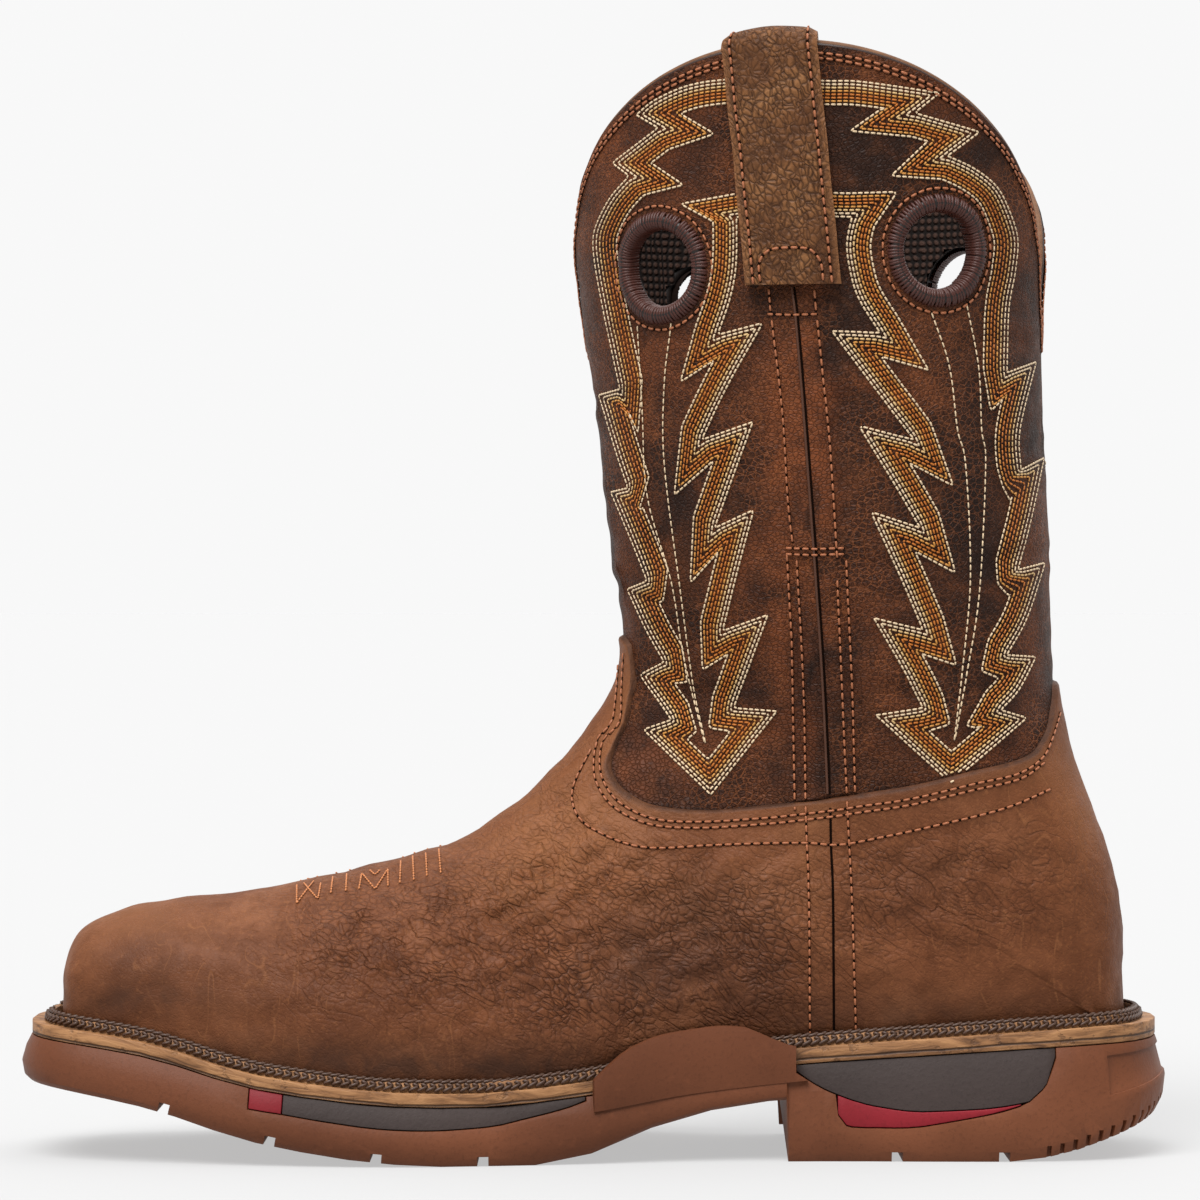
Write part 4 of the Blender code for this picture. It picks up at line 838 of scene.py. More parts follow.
# Creases: width in pixels, depth in millimetres, then the line in pixels
CREASES = (
    (7, 0.50, ((486, 902), (520, 884), (552, 862), (580, 836), (600, 806))),
    (6, 0.40, ((455, 925), (500, 915), (545, 893), (580, 868), (612, 852))),
    (6, 0.40, ((520, 935), (560, 915), (600, 885), (640, 868))),
    (7, 0.45, ((560, 950), (610, 925), (655, 895), (700, 880))),
    (6, 0.35, ((430, 950), (470, 948), (520, 955), (560, 975))),
    (6, 0.35, ((600, 970), (640, 945), (690, 925), (740, 915))),
    (7, 0.40, ((540, 812), (566, 796), (590, 770), (604, 742))),
    (6, 0.35, ((500, 862), (530, 846), (556, 822))),
    (9, 0.90, ((836, 396), (856, 402), (880, 396), (902, 384))),
    (8, 0.70, ((838, 420), (862, 420), (890, 410))),
    (8, 0.60, ((592, 332), (620, 338), (650, 330), (690, 338))),
    (8, 0.50, ((600, 402), (640, 398), (690, 404), (740, 396))),
    (8, 0.50, ((950, 345), (985, 338), (1020, 342))),
    (8, 0.45, ((960, 455), (1000, 450), (1040, 446))),
    (8, 0.45, ((985, 560), (1020, 552), (1045, 556))),
    (9, 0.50, ((615, 585), (650, 600), (690, 596))),
    (9, 0.45, ((640, 690), (680, 700), (730, 690))),
    (9, 0.40, ((880, 690), (930, 700), (990, 690))),
    (9, 0.40, ((850, 560), (890, 566), (930, 556))),
)
# Rubbed wear, and painted highlight: the spots over the vamp paint its highlight, the rest are rubbed
# patches.
WEAR_AND_HIGHLIGHT_SPOTS = (
    (560, 830, 70, 60, 0.55), (520, 880, 60, 40, 0.30), (680, 900, 90, 40, 0.20),
    (1085, 800, 25, 60, 0.45), (140, 915, 60, 25, 0.35), (782, 430, 16, 200, 0.95),
    (812, 520, 20, 290, 1.3), (660, 360, 70, 40, 0.75), (630, 150, 60, 60, 0.95),
    (960, 80, 80, 45, 0.85), (1030, 250, 25, 120, 0.55), (760, 620, 60, 180, 0.55),
    (870, 640, 40, 160, 0.45), (1035, 620, 20, 140, 0.55), (625, 560, 20, 160, 0.55),
    (660, 770, 60, 40, 0.6), (980, 750, 80, 30, 0.5), (600, 280, 16, 90, 0.6), (900, 390, 60, 22, 0.7),
)
# Painted shade: darker toward the welt, on the toe's side, under the strap and along the side seam, with the
# leather's own dark patches near the seam and on the shaft.
SHADE_SPOTS = (
    (215, 1000, 150, 55, 0.20), (700, 1060, 200, 30, 0.45), (450, 1075, 260, 22, 0.50),
    (950, 1020, 180, 26, 0.45), (120, 1000, 80, 16, 0.35), (300, 1055, 200, 20, 0.35),
    (780, 300, 40, 22, 0.55), (800, 700, 14, 100, 0.45), (820, 690, 8, 130, 0.55),
    (690, 300, 60, 40, 0.35), (960, 560, 50, 150, 0.40), (640, 985, 120, 40, 0.25),
    (885, 190, 60, 90, 0.45), (660, 620, 40, 90, 0.35), (905, 520, 30, 90, 0.35),
    (690, 560, 20, 140, 0.30), (1000, 480, 24, 200, 0.30), (700, 915, 70, 50, 0.34),
    (765, 975, 40, 50, 0.26), (655, 960, 50, 40, 0.30), (905, 880, 60, 34, 0.22),
    (135, 960, 60, 50, 0.20), (880, 770, 60, 26, 0.45), (690, 790, 60, 26, 0.40),
    (690, 150, 50, 40, 0.30), (600, 360, 12, 120, 0.25),
)
WRINKLED_SPOTS = (
    (520, 930, 190, 90, 1.0), (640, 960, 160, 80, 0.9), (560, 800, 60, 70, 0.55),
    (760, 930, 110, 80, 0.45), (930, 890, 110, 60, 0.85), (1040, 860, 60, 60, 0.25),
    (370, 940, 80, 60, 0.55),
)


def lift_field():
    """How far the outside rises over the base: topline step, seam strips, creases and a slight wave."""
    lift = -OVERLAY * SUNK[:, None] * np.ones((1, COLS))
    start, end = SEAM_COLUMNS
    strip = smooth_step(AROUND, start - 0.002, start + 0.002) * (1 - smooth_step(AROUND, end - 0.004, end))
    under_strap = FLAT[:, :, 2] < ANKLE_HEIGHT + SHAFT_HEIGHT - STRAP_OUTSIDE - BELOW_STRAP
    lift += SEAM_STRIP * strip[None, :] * (under_strap * (np.arange(ROWS) > STEP_ROW)[:, None])
    for width, depth, line in CREASES:
        d = near_line(line) / width
        lift += MILLIMETRE * depth * (0.55 * np.exp(-((d - 1.7) ** 2)) - np.exp(-(d**2)))
    rng = np.random.default_rng(7)
    wave = np.zeros(PX.shape)
    for _ in range(WAVES):
        direction = rng.uniform(0, math.pi)
        pitch = rng.uniform(*WAVE_PITCHES)
        way = PX * math.cos(direction) + PY * math.sin(direction)
        wave += np.sin(way * 2 * math.pi / pitch + rng.uniform(0, 6.28))
    lift += WAVE_HEIGHT * wave * (0.4 + WRINKLED)
    return lift


WRINKLED = np.clip(spots(WRINKLED_SPOTS), 0.0, 1.0)
WEAR_AND_HIGHLIGHT = np.clip(spots(WEAR_AND_HIGHLIGHT_SPOTS), 0.0, 1.0)
SHADE = np.clip(spots(SHADE_SPOTS), 0.0, 0.8)
# The rows at the topline's step are darkened as well, along the overlay's edge.
SHADE[STEP_ROW - 1:STEP_ROW + 1] = 0.75
SHADE[STEP_ROW - 2] = 0.35
LIFT = lift_field()
OUTER = BASE + NORMALS * LIFT[:, :, None]
SMOOTH = BASE - NORMALS * (OVERLAY * SUNK[:, None, None])
THICKNESS = np.where(np.arange(ROWS) < STEP_ROW, WALL + OVERLAY, WALL + OVERLAY * SUNK)
INNER = BASE - NORMALS * THICKNESS[:, None, None]
for SHELL in (OUTER, INNER):
    SHELL[:, :, 2] = np.maximum(SHELL[:, :, 2], seat(SHELL[:, :, 0]) + GAP)
OUTER_NORMALS = outward_normals(OUTER)


def new_mesh(name, points, faces, material, smooth=True):
    mesh = bpy.data.meshes.new(name)
    mesh.from_pydata(np.asarray(points, float).tolist(), [], np.asarray(faces).tolist() if len(faces) else [])
    mesh.update()
    if smooth:
        mesh.shade_smooth()
    mesh.materials.append(material)
    body = bpy.data.objects.new(name, mesh)
    bpy.context.scene.collection.objects.link(body)
    return body


def dress(body, slot, *nodes):
    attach(body, "root")
    if nodes:
        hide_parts(*nodes)
    return body


def give_attribute(body, name, values):
    made = body.data.attributes.new(name, "FLOAT", "POINT")
    made.data.foreach_set("value", np.asarray(values, np.float32).ravel())


# Places on the grid: fractional rows and columns
def blended(field, i, j, s, t):
    near, far = field[i, j] * (1 - s) * (1 - t), field[i + 1, j] * s * (1 - t)
    return near + far + field[i, j + 1] * (1 - s) * t + field[i + 1, j + 1] * s * t


def at_grid(field, r, c):
    r = np.clip(r, 0, ROWS - 1.001)
    c = np.clip(c, 0, COLS - 1.001)
    i, j = r.astype(int), c.astype(int)
    return blended(field, i, j, (r - i)[:, None], (c - j)[:, None])


def row_at_height(c, height):
    """The shaft's row at a height, in a fractional column."""
    j = int(c)
    column = FLAT[STEP_ROW:, j, 2] * (1 - (c - j)) + FLAT[STEP_ROW:, min(j + 1, COLS - 1), 2] * (c - j)
    return STEP_ROW + np.interp(height, column, np.arange(len(column)))


def both_sides(r, c):
    return ((r, c), (r, COLS - 1 - c))


def grid_faces(first, last):
    i, j = np.meshgrid(np.arange(first, last), np.arange(COLS - 1), indexing="ij")
    a = i * COLS + j
    return quads(a, a + 1, a + COLS + 1, a + COLS)


CAST = BVHTree.FromPolygons(OUTER.reshape(-1, 3).tolist(), grid_faces(0, ROWS - 1).tolist())


def cast_pixels(line, step=1.2):
    """Grid rows and columns under a polyline of pixels on the medial side."""
    line = np.array(line, float)
    lengths = np.concatenate([[0.0], np.cumsum(np.hypot(*np.diff(line, axis=0).T))])
    count = max(2, int(lengths[-1] / step) + 1)
    places = np.linspace(0.0, lengths[-1], count)
    xs = np.interp(places, lengths, line[:, 0])
    ys = np.interp(places, lengths, line[:, 1])
    found = []
    start = Vector(CAMERA)
    for x, y in zip(xs, ys):
        across, rise = (x - HALF_PICTURE) * PIXEL, (HALF_PICTURE - y) * PIXEL
        target = Vector((CAMERA[0] + across, 0.0, CAMERA[2] + rise))
        hit, _, index, _ = CAST.ray_cast(start, (target - start).normalized())
        if hit is None:
            continue
        i, j = divmod(index, COLS - 1)
        if j >= SIDE_COLUMNS:
            continue
        found.append((i + 0.5, j + 0.5, *hit))
    if len(found) < 2:
        return np.zeros(0), np.zeros(0)
    found = np.array(found)
    r, c, hits = found[:, 0], found[:, 1], found[:, 2:]
    for _ in range(5):
        i = np.clip(r, 0, ROWS - 1.001).astype(int)
        j = np.clip(c, 0, SIDE_COLUMNS - 0.001).astype(int)
        up = OUTER[i + 1, j] - OUTER[i, j]
        across = OUTER[i, j + 1] - OUTER[i, j]
        gap = hits - at_grid(OUTER, r, c)
        uu, aa, ua = (up * up).sum(1), (across * across).sum(1), (up * across).sum(1)
        gu, ga = (gap * up).sum(1), (gap * across).sum(1)
        whole = np.maximum(uu * aa - ua * ua, 1e-18)
        r = np.clip(r + np.clip((gu * aa - ga * ua) / whole, -1, 1), 0, ROWS - 1.001)
        c = np.clip(c + np.clip((ga * uu - gu * ua) / whole, -1, 1), 0, SIDE_COLUMNS)
    return r, c


# Stitches
STITCHES = {name: [] for name in COLOURS}


def add_stitches(colour, starts, ends, normals, width, height, sink=0.15):
    """Rounded stitches from starts to ends, lying on the surface."""
    if not len(starts):
        return
    middle = ends - starts
    along = unit(middle)
    across = unit(np.cross(normals, along))
    up = np.cross(along, across)
    up *= np.sign(np.sum(up * normals, axis=1, keepdims=True))
    rings = []
    for share, size in ((0.0, 0.45), (0.16, 0.9), (0.84, 0.9), (1.0, 0.45)):
        centre = starts + middle * share + up * (height * (0.5 * size - sink))
        for a, b in ((1, 0), (0, 1), (-1, 0), (0, -1)):
            rings.append(centre + across * (0.5 * width * size * a) + up * (0.5 * height * size * b))
    points = np.stack(rings, axis=1)
    faces = []
    for k in range(3):
        for m in range(4):
            n = (m + 1) % 4
            faces.append((4 * k + m, 4 * k + n, 4 * k + 4 + n, 4 * k + 4 + m))
    faces += [(3, 2, 1, 0), (12, 13, 14, 15)]
    STITCHES[colour].append((points, np.array(faces)))


def stitch_path(colour, points, normals, pitch, width, height, fill=0.74, holes=False):
    """A row of stitches along points, with the shade of their needle holes if asked."""
    if len(points) < 2:
        return
    lengths = lengths_along(points)
    count = int(round(lengths[-1] / pitch))
    if count < 1:
        return
    step = lengths[-1] / count

    def along(places, field):
        return along_path(places, lengths, field)

    starts = (np.arange(count) + 0.5 - 0.5 * fill) * step
    ends = starts + fill * step
    up = unit(along(0.5 * (starts + ends), normals))
    lift = up * OUTER_LIFT
    add_stitches(colour, along(starts, points) + lift, along(ends, points) + lift, up, width, height)
    if holes:
        # Painted shade in the needle holes: flat dark marks between the stitches.
        starts, ends = ends - 0.10 * step, np.minimum(ends + (1.10 - fill) * step, lengths[-1])
        add_stitches("dark", along(starts, points), along(ends, points), up, 1.05 * width, NEEDLE_HOLE_SHADE)


def stitch_pixels(colour, line, pitch, width, height, smooth=True, fill=0.74, holes=False):
    """Stitches along a line of pixels, on the medial side and mirrored on the lateral side."""
    if smooth and len(line) > 2:
        line = soft_line(line)
    for r, c in runs(*cast_pixels(line)):
        for rr, cc in both_sides(r, c):
            points, normals = at_grid(OUTER, rr, cc), at_grid(OUTER_NORMALS, rr, cc)
            stitch_path(colour, points, normals, pitch, width, height, fill, holes)


def runs(r, c):
    """Parts of a path above and below the topline's step, without its steep rows."""
    found = []
    for part in (r < STEP_ROW - 1.6, r > STEP_ROW + 0.4):
        index = np.flatnonzero(part)
        if len(index) < 2:
            continue
        breaks = np.flatnonzero(np.diff(index) > 3) + 1
        found += [(r[k], c[k]) for k in np.split(index, breaks) if len(k) > 1]
    return found


def soft_line(line, steps=8):
    line = np.array(line, float)
    places = np.arange(0.0, len(line) - 1 + 1e-9, 1.0 / steps)
    return spline_rows(line, np.minimum(places, len(line) - 1 - 1e-9))


# Embroidery: one closed outline in pixels. T is a tip, N a notch with the place of the inner
# row's tip, S a smooth point.
FLAMES = (
    ("S", 825, 81), ("S", 862, 82), ("T", 939, 93), ("N", 914, 113, 850, 131), ("T", 979, 132),
    ("N", 947, 156, 891, 176), ("S", 974, 169), ("S", 997, 188), ("S", 1011, 217), ("S", 1017, 242),
    ("S", 1014, 274), ("S", 1008, 309), ("N", 1006, 373, 990, 411), ("T", 1035, 362), ("S", 1019, 430),
    ("N", 1020, 470, 1002, 487), ("T", 1043, 458), ("S", 1030, 520), ("N", 1017, 570, 997, 584),
    ("T", 1044, 563), ("S", 1026, 618), ("N", 1006, 655, 981, 671), ("T", 1035, 657), ("S", 1018, 690),
    ("N", 1000, 710, 966, 726), ("T", 1026, 718), ("T", 951, 783), ("T", 876, 715),
    ("N", 923, 708, 950, 724), ("S", 905, 672), ("T", 874, 618), ("N", 923, 630, 956, 665),
    ("S", 900, 576), ("T", 871, 512), ("N", 920, 528, 955, 573), ("S", 895, 485), ("T", 859, 426),
    ("N", 914, 440, 953, 486), ("S", 880, 395), ("T", 832, 331), ("N", 880, 333, 928, 370),
    ("S", 858, 297), ("S", 849, 265), ("S", 847, 242), ("N", 852, 217, 897, 192), ("S", 815, 216),
    ("S", 775, 215), ("N", 737, 217, 681, 204), ("S", 737, 252), ("S", 735, 277), ("S", 729, 303),
    ("N", 718, 335, 681, 382), ("T", 763, 323), ("S", 728, 385), ("N", 702, 440, 675, 495),
    ("T", 753, 422), ("S", 732, 480), ("N", 715, 528, 691, 583), ("T", 754, 510), ("S", 738, 570),
    ("N", 723, 631, 703, 670), ("T", 768, 615), ("S", 750, 664), ("N", 734, 708, 709, 728),
    ("T", 777, 711), ("T", 711, 795), ("T", 644, 730), ("N", 672, 720, 697, 732), ("T", 641, 675),
    ("N", 665, 662, 688, 682), ("S", 648, 632), ("T", 628, 589), ("N", 648, 581, 664, 601),
    ("S", 634, 545), ("T", 612, 492), ("N", 629, 488, 640, 510), ("S", 617, 452), ("T", 600, 395),
    ("N", 621, 389, 639, 433), ("S", 606, 319), ("S", 597, 271), ("S", 594, 242), ("S", 598, 223),
    ("S", 611, 198), ("N", 630, 176, 684, 185), ("T", 613, 163), ("N", 659, 128, 715, 134),
    ("T", 637, 115), ("S", 656, 100), ("S", 688, 86), ("S", 724, 80), ("S", 775, 78),
)
FLAME_COLOURS = ("cream", "cream", "pale", "gold", "orange", "orange", "gold", "cream")
FLAME_PITCH = 3.35
VEINS = (
    ((638, 325), (643, 410), (648, 496), (672, 582), (684, 655), (705, 743)),
    ((672, 322), (665, 383), (665, 464), (681, 591), (694, 687), (706, 744)),
    ((931, 312), (949, 367), (957, 430), (965, 464), (970, 575), (962, 671), (954, 741)),
    ((966, 304), (978, 367), (981, 430), (985, 464), (979, 591), (967, 671), (955, 738)),
)


def flame_outline():
    """The closed outline: dense points, and for each corner its index and inner tip."""
    count = len(FLAMES)
    dense, corners = [], []
    for k in range(count):
        here, following = FLAMES[k], FLAMES[(k + 1) % count]
        before, after = FLAMES[k - 1], FLAMES[(k + 2) % count]
        p1, p2 = np.array(here[1:3], float), np.array(following[1:3], float)
        p0 = np.array(before[1:3], float) if here[0] == "S" else 2 * p1 - p2
        p3 = np.array(after[1:3], float) if following[0] == "S" else 2 * p2 - p1
        if here[0] != "S":
            corners.append((len(dense), np.array(here[3:5], float) if here[0] == "N" else None))
        steps = max(2, int(np.linalg.norm(p2 - p1) / 4.0))
        for t in np.arange(steps) / steps:
            dense.append(between(p0, p1, p2, p3, t))
    return np.array(dense), corners


def flame_row(outline, corners, number):
    """The outline moved inwards by a number of rows, with its crossings cut away."""
    if number == 0:
        return np.vstack([outline, outline[:1]])
    reach = number * FLAME_PITCH
    before = unit(outline - np.roll(outline, 1, axis=0))
    after = unit(np.roll(outline, -1, axis=0) - outline)
    turn = unit(before + after)
    inward = np.column_stack([-turn[:, 1], turn[:, 0]])
    cosine = np.clip(np.sum(turn * after, axis=1), 0.3, 1.0)
    moved = outline + inward * (reach / cosine)[:, None]
    fixed = np.zeros(len(outline), bool)
    for index, tip in corners:
        if tip is not None:
            moved[index] = outline[index] + (tip - outline[index]) * number / (len(FLAME_COLOURS) - 1)
            fixed[index] = True
    starts, ends = outline, np.roll(outline, -1, axis=0)
    span = ends - starts
    best = np.full(len(moved), 1e9)
    for s, d in zip(starts, span):
        t = np.clip(((moved - s) @ d) / (d @ d), 0.0, 1.0)
        best = np.minimum(best, np.linalg.norm(moved - s - t[:, None] * d, axis=1))
    kept = moved[(best > 0.97 * reach) | fixed]
    return np.vstack([kept, kept[:1]])


def embroider():
    outline, corners = flame_outline()
    for number, colour in enumerate(FLAME_COLOURS):
        row = flame_row(outline, corners, number)
        stitch_pixels(colour, row, *FLAME_STITCH, smooth=False, fill=0.80)
    for line in VEINS:
        stitch_pixels("cream", line, *VEIN_STITCH)


# Plain seams in pixels: thread, pitch in millimetres, then the line
SEAMS = (
    ("brown", 2.6, ((772, 319), (783, 415), (788, 497), (793, 543))),
    ("brown", 2.6, ((787, 553), (792, 640), (795, 811))),
    ("brown", 2.6, ((797, 559), (804, 690), (806, 815), (809, 900), (810, 1038))),
    ("brown", 2.6, ((817, 319), (830, 446), (837, 559))),
    ("brown", 2.6, ((837, 579), (847, 799), (852, 900), (856, 1032))),
    ("brown", 2.6, ((846, 559), (852, 680), (855, 799))),
    ("brown", 2.3, ((767, 314), (792, 315), (818, 314))),
    ("brown", 2.6, ((769, 288), (771, 312))),
    ("brown", 2.6, ((814, 288), (816, 312))),
    ("brown", 2.3, ((785, 548), (815, 549), (845, 548))),
    ("brown", 2.3, ((785, 554), (815, 555), (845, 554))),
    ("brown", 2.6, (
        (624, 652), (622, 690), (620, 722), (604, 740), (600, 762), (604, 782), (620, 803), (654, 819),
        (704, 822), (767, 818), (831, 811), (857, 807), (911, 799), (974, 784), (1018, 774), (1042, 758),
        (1052, 738), (1060, 712),
    )),
    ("brown", 2.6, (
        (619, 664), (616, 700), (612, 722), (598, 740), (594, 764), (598, 786), (616, 809), (652, 825),
        (704, 828), (767, 824), (831, 817), (857, 813), (911, 805), (974, 790), (1020, 779), (1045, 762),
    )),
    ("brown", 2.6, (
        (592, 748), (573, 789), (579, 818), (608, 837), (649, 848), (719, 845), (802, 843), (837, 845),
        (879, 838), (943, 824), (1006, 808), (1051, 789),
    )),
    ("rust", 1.25, ((297, 886), (297, 904), (305, 893), (314, 882))),
    ("rust", 1.25, ((304, 884), (318, 900), (321, 884))),
    ("rust", 1.25, ((333, 878), (331, 894))),
    ("rust", 1.25, ((347, 875), (346, 892))),
    ("rust", 1.25, ((359, 890), (362, 874), (375, 890), (388, 870), (388, 887))),
    ("rust", 1.25, ((370, 871), (375, 876), (380, 871))),
    ("rust", 1.25, ((401, 862), (400, 884))),
    ("rust", 1.25, ((413, 857), (414, 881))),
    ("rust", 1.25, ((426, 854), (427, 877))),
    ("rust", 1.25, ((439, 850), (441, 874))),
)
CENTRE_SEAM = (
    (794, 287), (798, 319), (806, 415), (812, 496), (818, 579), (825, 687), (830, 799), (831, 846),
    (833, 897), (834, 1034),
)


def ribbon(points, normals, width, lift):
    """A thin flat strip on the surface: points and faces."""
    along = np.gradient(points, axis=0)
    across = unit(np.cross(normals, along))
    left = points + normals * lift + across * 0.5 * width
    right = points + normals * lift - across * 0.5 * width
    top = points + normals * (lift + 0.25 * width)
    verts = np.concatenate([left, top, right])
    n = len(points)
    k = np.arange(n - 1)
    left_faces = quads(k, k + 1, n + k + 1, n + k)
    return verts, np.concatenate([left_faces, left_faces + n])


# Building the pieces
def hole_places():
    """Centre and normal of each finger hole."""
    places = []
    for spot, drop in HOLE_SPOTS:
        c = spot / 0.5 * SIDE_COLUMNS
        r = row_at_height(c, ANKLE_HEIGHT + SHAFT_HEIGHT - drop)
        for rr, cc in both_sides(np.array([r]), np.array([c])):
            places.append((at_grid(OUTER, rr, cc)[0], at_grid(OUTER_NORMALS, rr, cc)[0]))
    return places


HOLES = hole_places()
SHAFT_HOLE = 0.0125
LINING_HOLE = 0.0122
KNIT_PITCH = 0.0021


def open_faces(points, first, last, radius):
    """Which faces stay, outside the finger holes."""
    low, high = points[first:last], points[first + 1:last + 1]
    centres = 0.25 * (low[:, :-1] + low[:, 1:] + high[:, :-1] + high[:, 1:])
    keep = np.ones(centres.shape[:2], bool)
    for centre, normal in HOLES:
        gap = centres - centre
        off = gap @ normal
        flat = np.linalg.norm(gap - off[..., None] * normal, axis=2)
        keep &= ~((flat < radius) & (np.abs(off) < 0.012))
    return keep


def shell(name, points, first, last, material, radius=None):
    """One skin of the upper between two rows, with its finger holes cut at a radius."""
    faces = grid_faces(first, last) - first * COLS
    if radius:
        faces = faces[open_faces(points, first, last, radius).reshape(-1)]
    body = new_mesh(name, points[first:last + 1].reshape(-1, 3), faces, material)
    for attribute, field in (("wrinkled", WRINKLED), ("wear_and_highlight", WEAR_AND_HIGHLIGHT), ("shade", SHADE)):
        give_attribute(body, attribute, field[first:last + 1])
    return body


def build_upper():
    foot = shell("foot_leather_shell", OUTER, 0, STEP_ROW, foot_leather())
    dress(foot, "foot_leather", "upper")
    shaft = shell("shaft_leather_shell", OUTER, STEP_ROW, ROWS - 1, shaft_leather(), SHAFT_HOLE)
    dress(shaft, "foot_leather")
    lining = shell("lining", INNER, 0, ROWS - 1, knitted(), LINING_HOLE)
    uv = lining.data.uv_layers.new(name="UVMap")
    index = np.zeros(len(lining.data.loops), int)
    lining.data.loops.foreach_get("vertex_index", index)
    j = index % COLS
    where = INNER.reshape(-1, 3)[index]
    across = (AROUND[j] * np.where(j > SIDE_COLUMNS, -1, 1)) * SHAFT_GIRTH * SHAFT_WIDTH / KNIT_PITCH
    rise = where[:, 2] / KNIT_PITCH
    knit = np.stack([across + 0.5 * (np.floor(rise) % 2), rise], axis=1)
    uv.data.foreach_set("uv", knit.ravel().astype(np.float32))
    dress(lining, "foot_leather")
    toe_faces(foot)


def toe_faces(foot):
    """Closes the front of the toe between the first row and its fold."""
    row = OUTER[0]
    fold = 0.5 * (row + row[::-1])
    fold[:, 1] = row[SIDE_COLUMNS, 1]
    points = np.concatenate([row, fold])
    body = new_mesh("toe_front", points, grid_faces(0, 1), foot.data.materials[0])
    for attribute in ("wrinkled", "wear_and_highlight"):
        give_attribute(body, attribute, np.zeros(len(points)))
    # Painted shade over the toe's front.
    give_attribute(body, "shade", np.full(len(points), 0.25))
    dress(body, "foot_leather")


def tube(points, radius, sides=8, closed=False, flat=None):
    """A round tube along points. flat gives the directions that its rings start from."""
    along = np.gradient(points, axis=0)
    if closed:
        along = np.roll(points, -1, axis=0) - np.roll(points, 1, axis=0)
    along = unit(along)
    up = np.tile([0.0, 0.0, 1.0], (len(points), 1)) if flat is None else flat
    across = unit(np.cross(along, up))
    up = np.cross(across, along)
    verts = []
    for m in range(sides):
        angle = 2 * math.pi * m / sides
        verts.append(points + radius * (across * math.cos(angle) + up * math.sin(angle)))
    verts = np.stack(verts, axis=1)
    n = len(points)
    i = np.arange(n if closed else n - 1)
    faces = []
    for m in range(sides):
        o = (m + 1) % sides
        j = (i + 1) % n
        faces.append(quads(i * sides + m, j * sides + m, j * sides + o, i * sides + o))
    return verts.reshape(-1, 3), np.concatenate(faces)


def join(parts):
    points, faces, start = [], [], 0
    for p, f in parts:
        points.append(p)
        faces.extend((np.asarray(f) + start).tolist())
        start += len(p)
    return np.concatenate(points), faces


BEAD_RADIUS = 0.00105
BEAD_RISE = 0.0005
COLLAR_SHADE_RADIUS = 0.00085
COLLAR_STITCH_DROPS = (0.0021, 0.0035)


def build_collar():
    """The tan bead that closes the top edge, a painted shade line beside it, and two rows of stitching below
    it.
    """
    last = ROWS - 1
    middle = 0.5 * (OUTER[last] + INNER[last])[:-1]
    inner = INNER[last][:-1] * 0.72 + OUTER[last][:-1] * 0.28
    tan = edge_leather("collar_edge_looks", (0.095, 0.042, 0.019), (0.190, 0.092, 0.045))
    bead = new_mesh("collar_bead", *tube(inner + [0, 0, BEAD_RISE], BEAD_RADIUS, 10, closed=True), tan)
    # A dark tube along the middle of the top edge: a painted shade line between the shaft leather and the
    # bead.
    fold = thread("fold", COLOURS["fold"])
    dress(new_mesh("collar_shade_line", *tube(middle, COLLAR_SHADE_RADIUS, 8, closed=True), fold), "foot_leather")
    dress(bead, "welt_leather")
    for drop in COLLAR_STITCH_DROPS:
        line, up = [], []
        for j in range(COLS):
            back = lengths_along(OUTER[STEP_ROW:, j][::-1])
            r = np.array([last - np.interp(drop, back, np.arange(len(back)))])
            c = np.array([float(j)])
            line.append(at_grid(OUTER, r, c)[0])
            up.append(at_grid(OUTER_NORMALS, r, c)[0])
        stitch_path("brown", np.array(line), np.array(up), *SEAM_STITCH, holes=True)


RIM_STEPS = 60
RIM_PLACE, RIM_RADIUS = 0.0128, 0.0017
SLEEVE_RADIUS = 0.0114
THREAD_RADIUS = 0.00047
STITCH_RING = 0.0168
SLEEVE_DEPTHS = (0.0006, -0.0012, -0.0030, -0.0046)
HOLE_THREADS = 92
THREAD_PATH = (
    # radius round the hole, lift over the leather
    (0.0150, -0.0001), (0.0143, 0.0008), (0.0129, 0.0013), (0.0114, 0.0009), (0.0107, -0.0008),
    (0.0108, -0.0032),
)


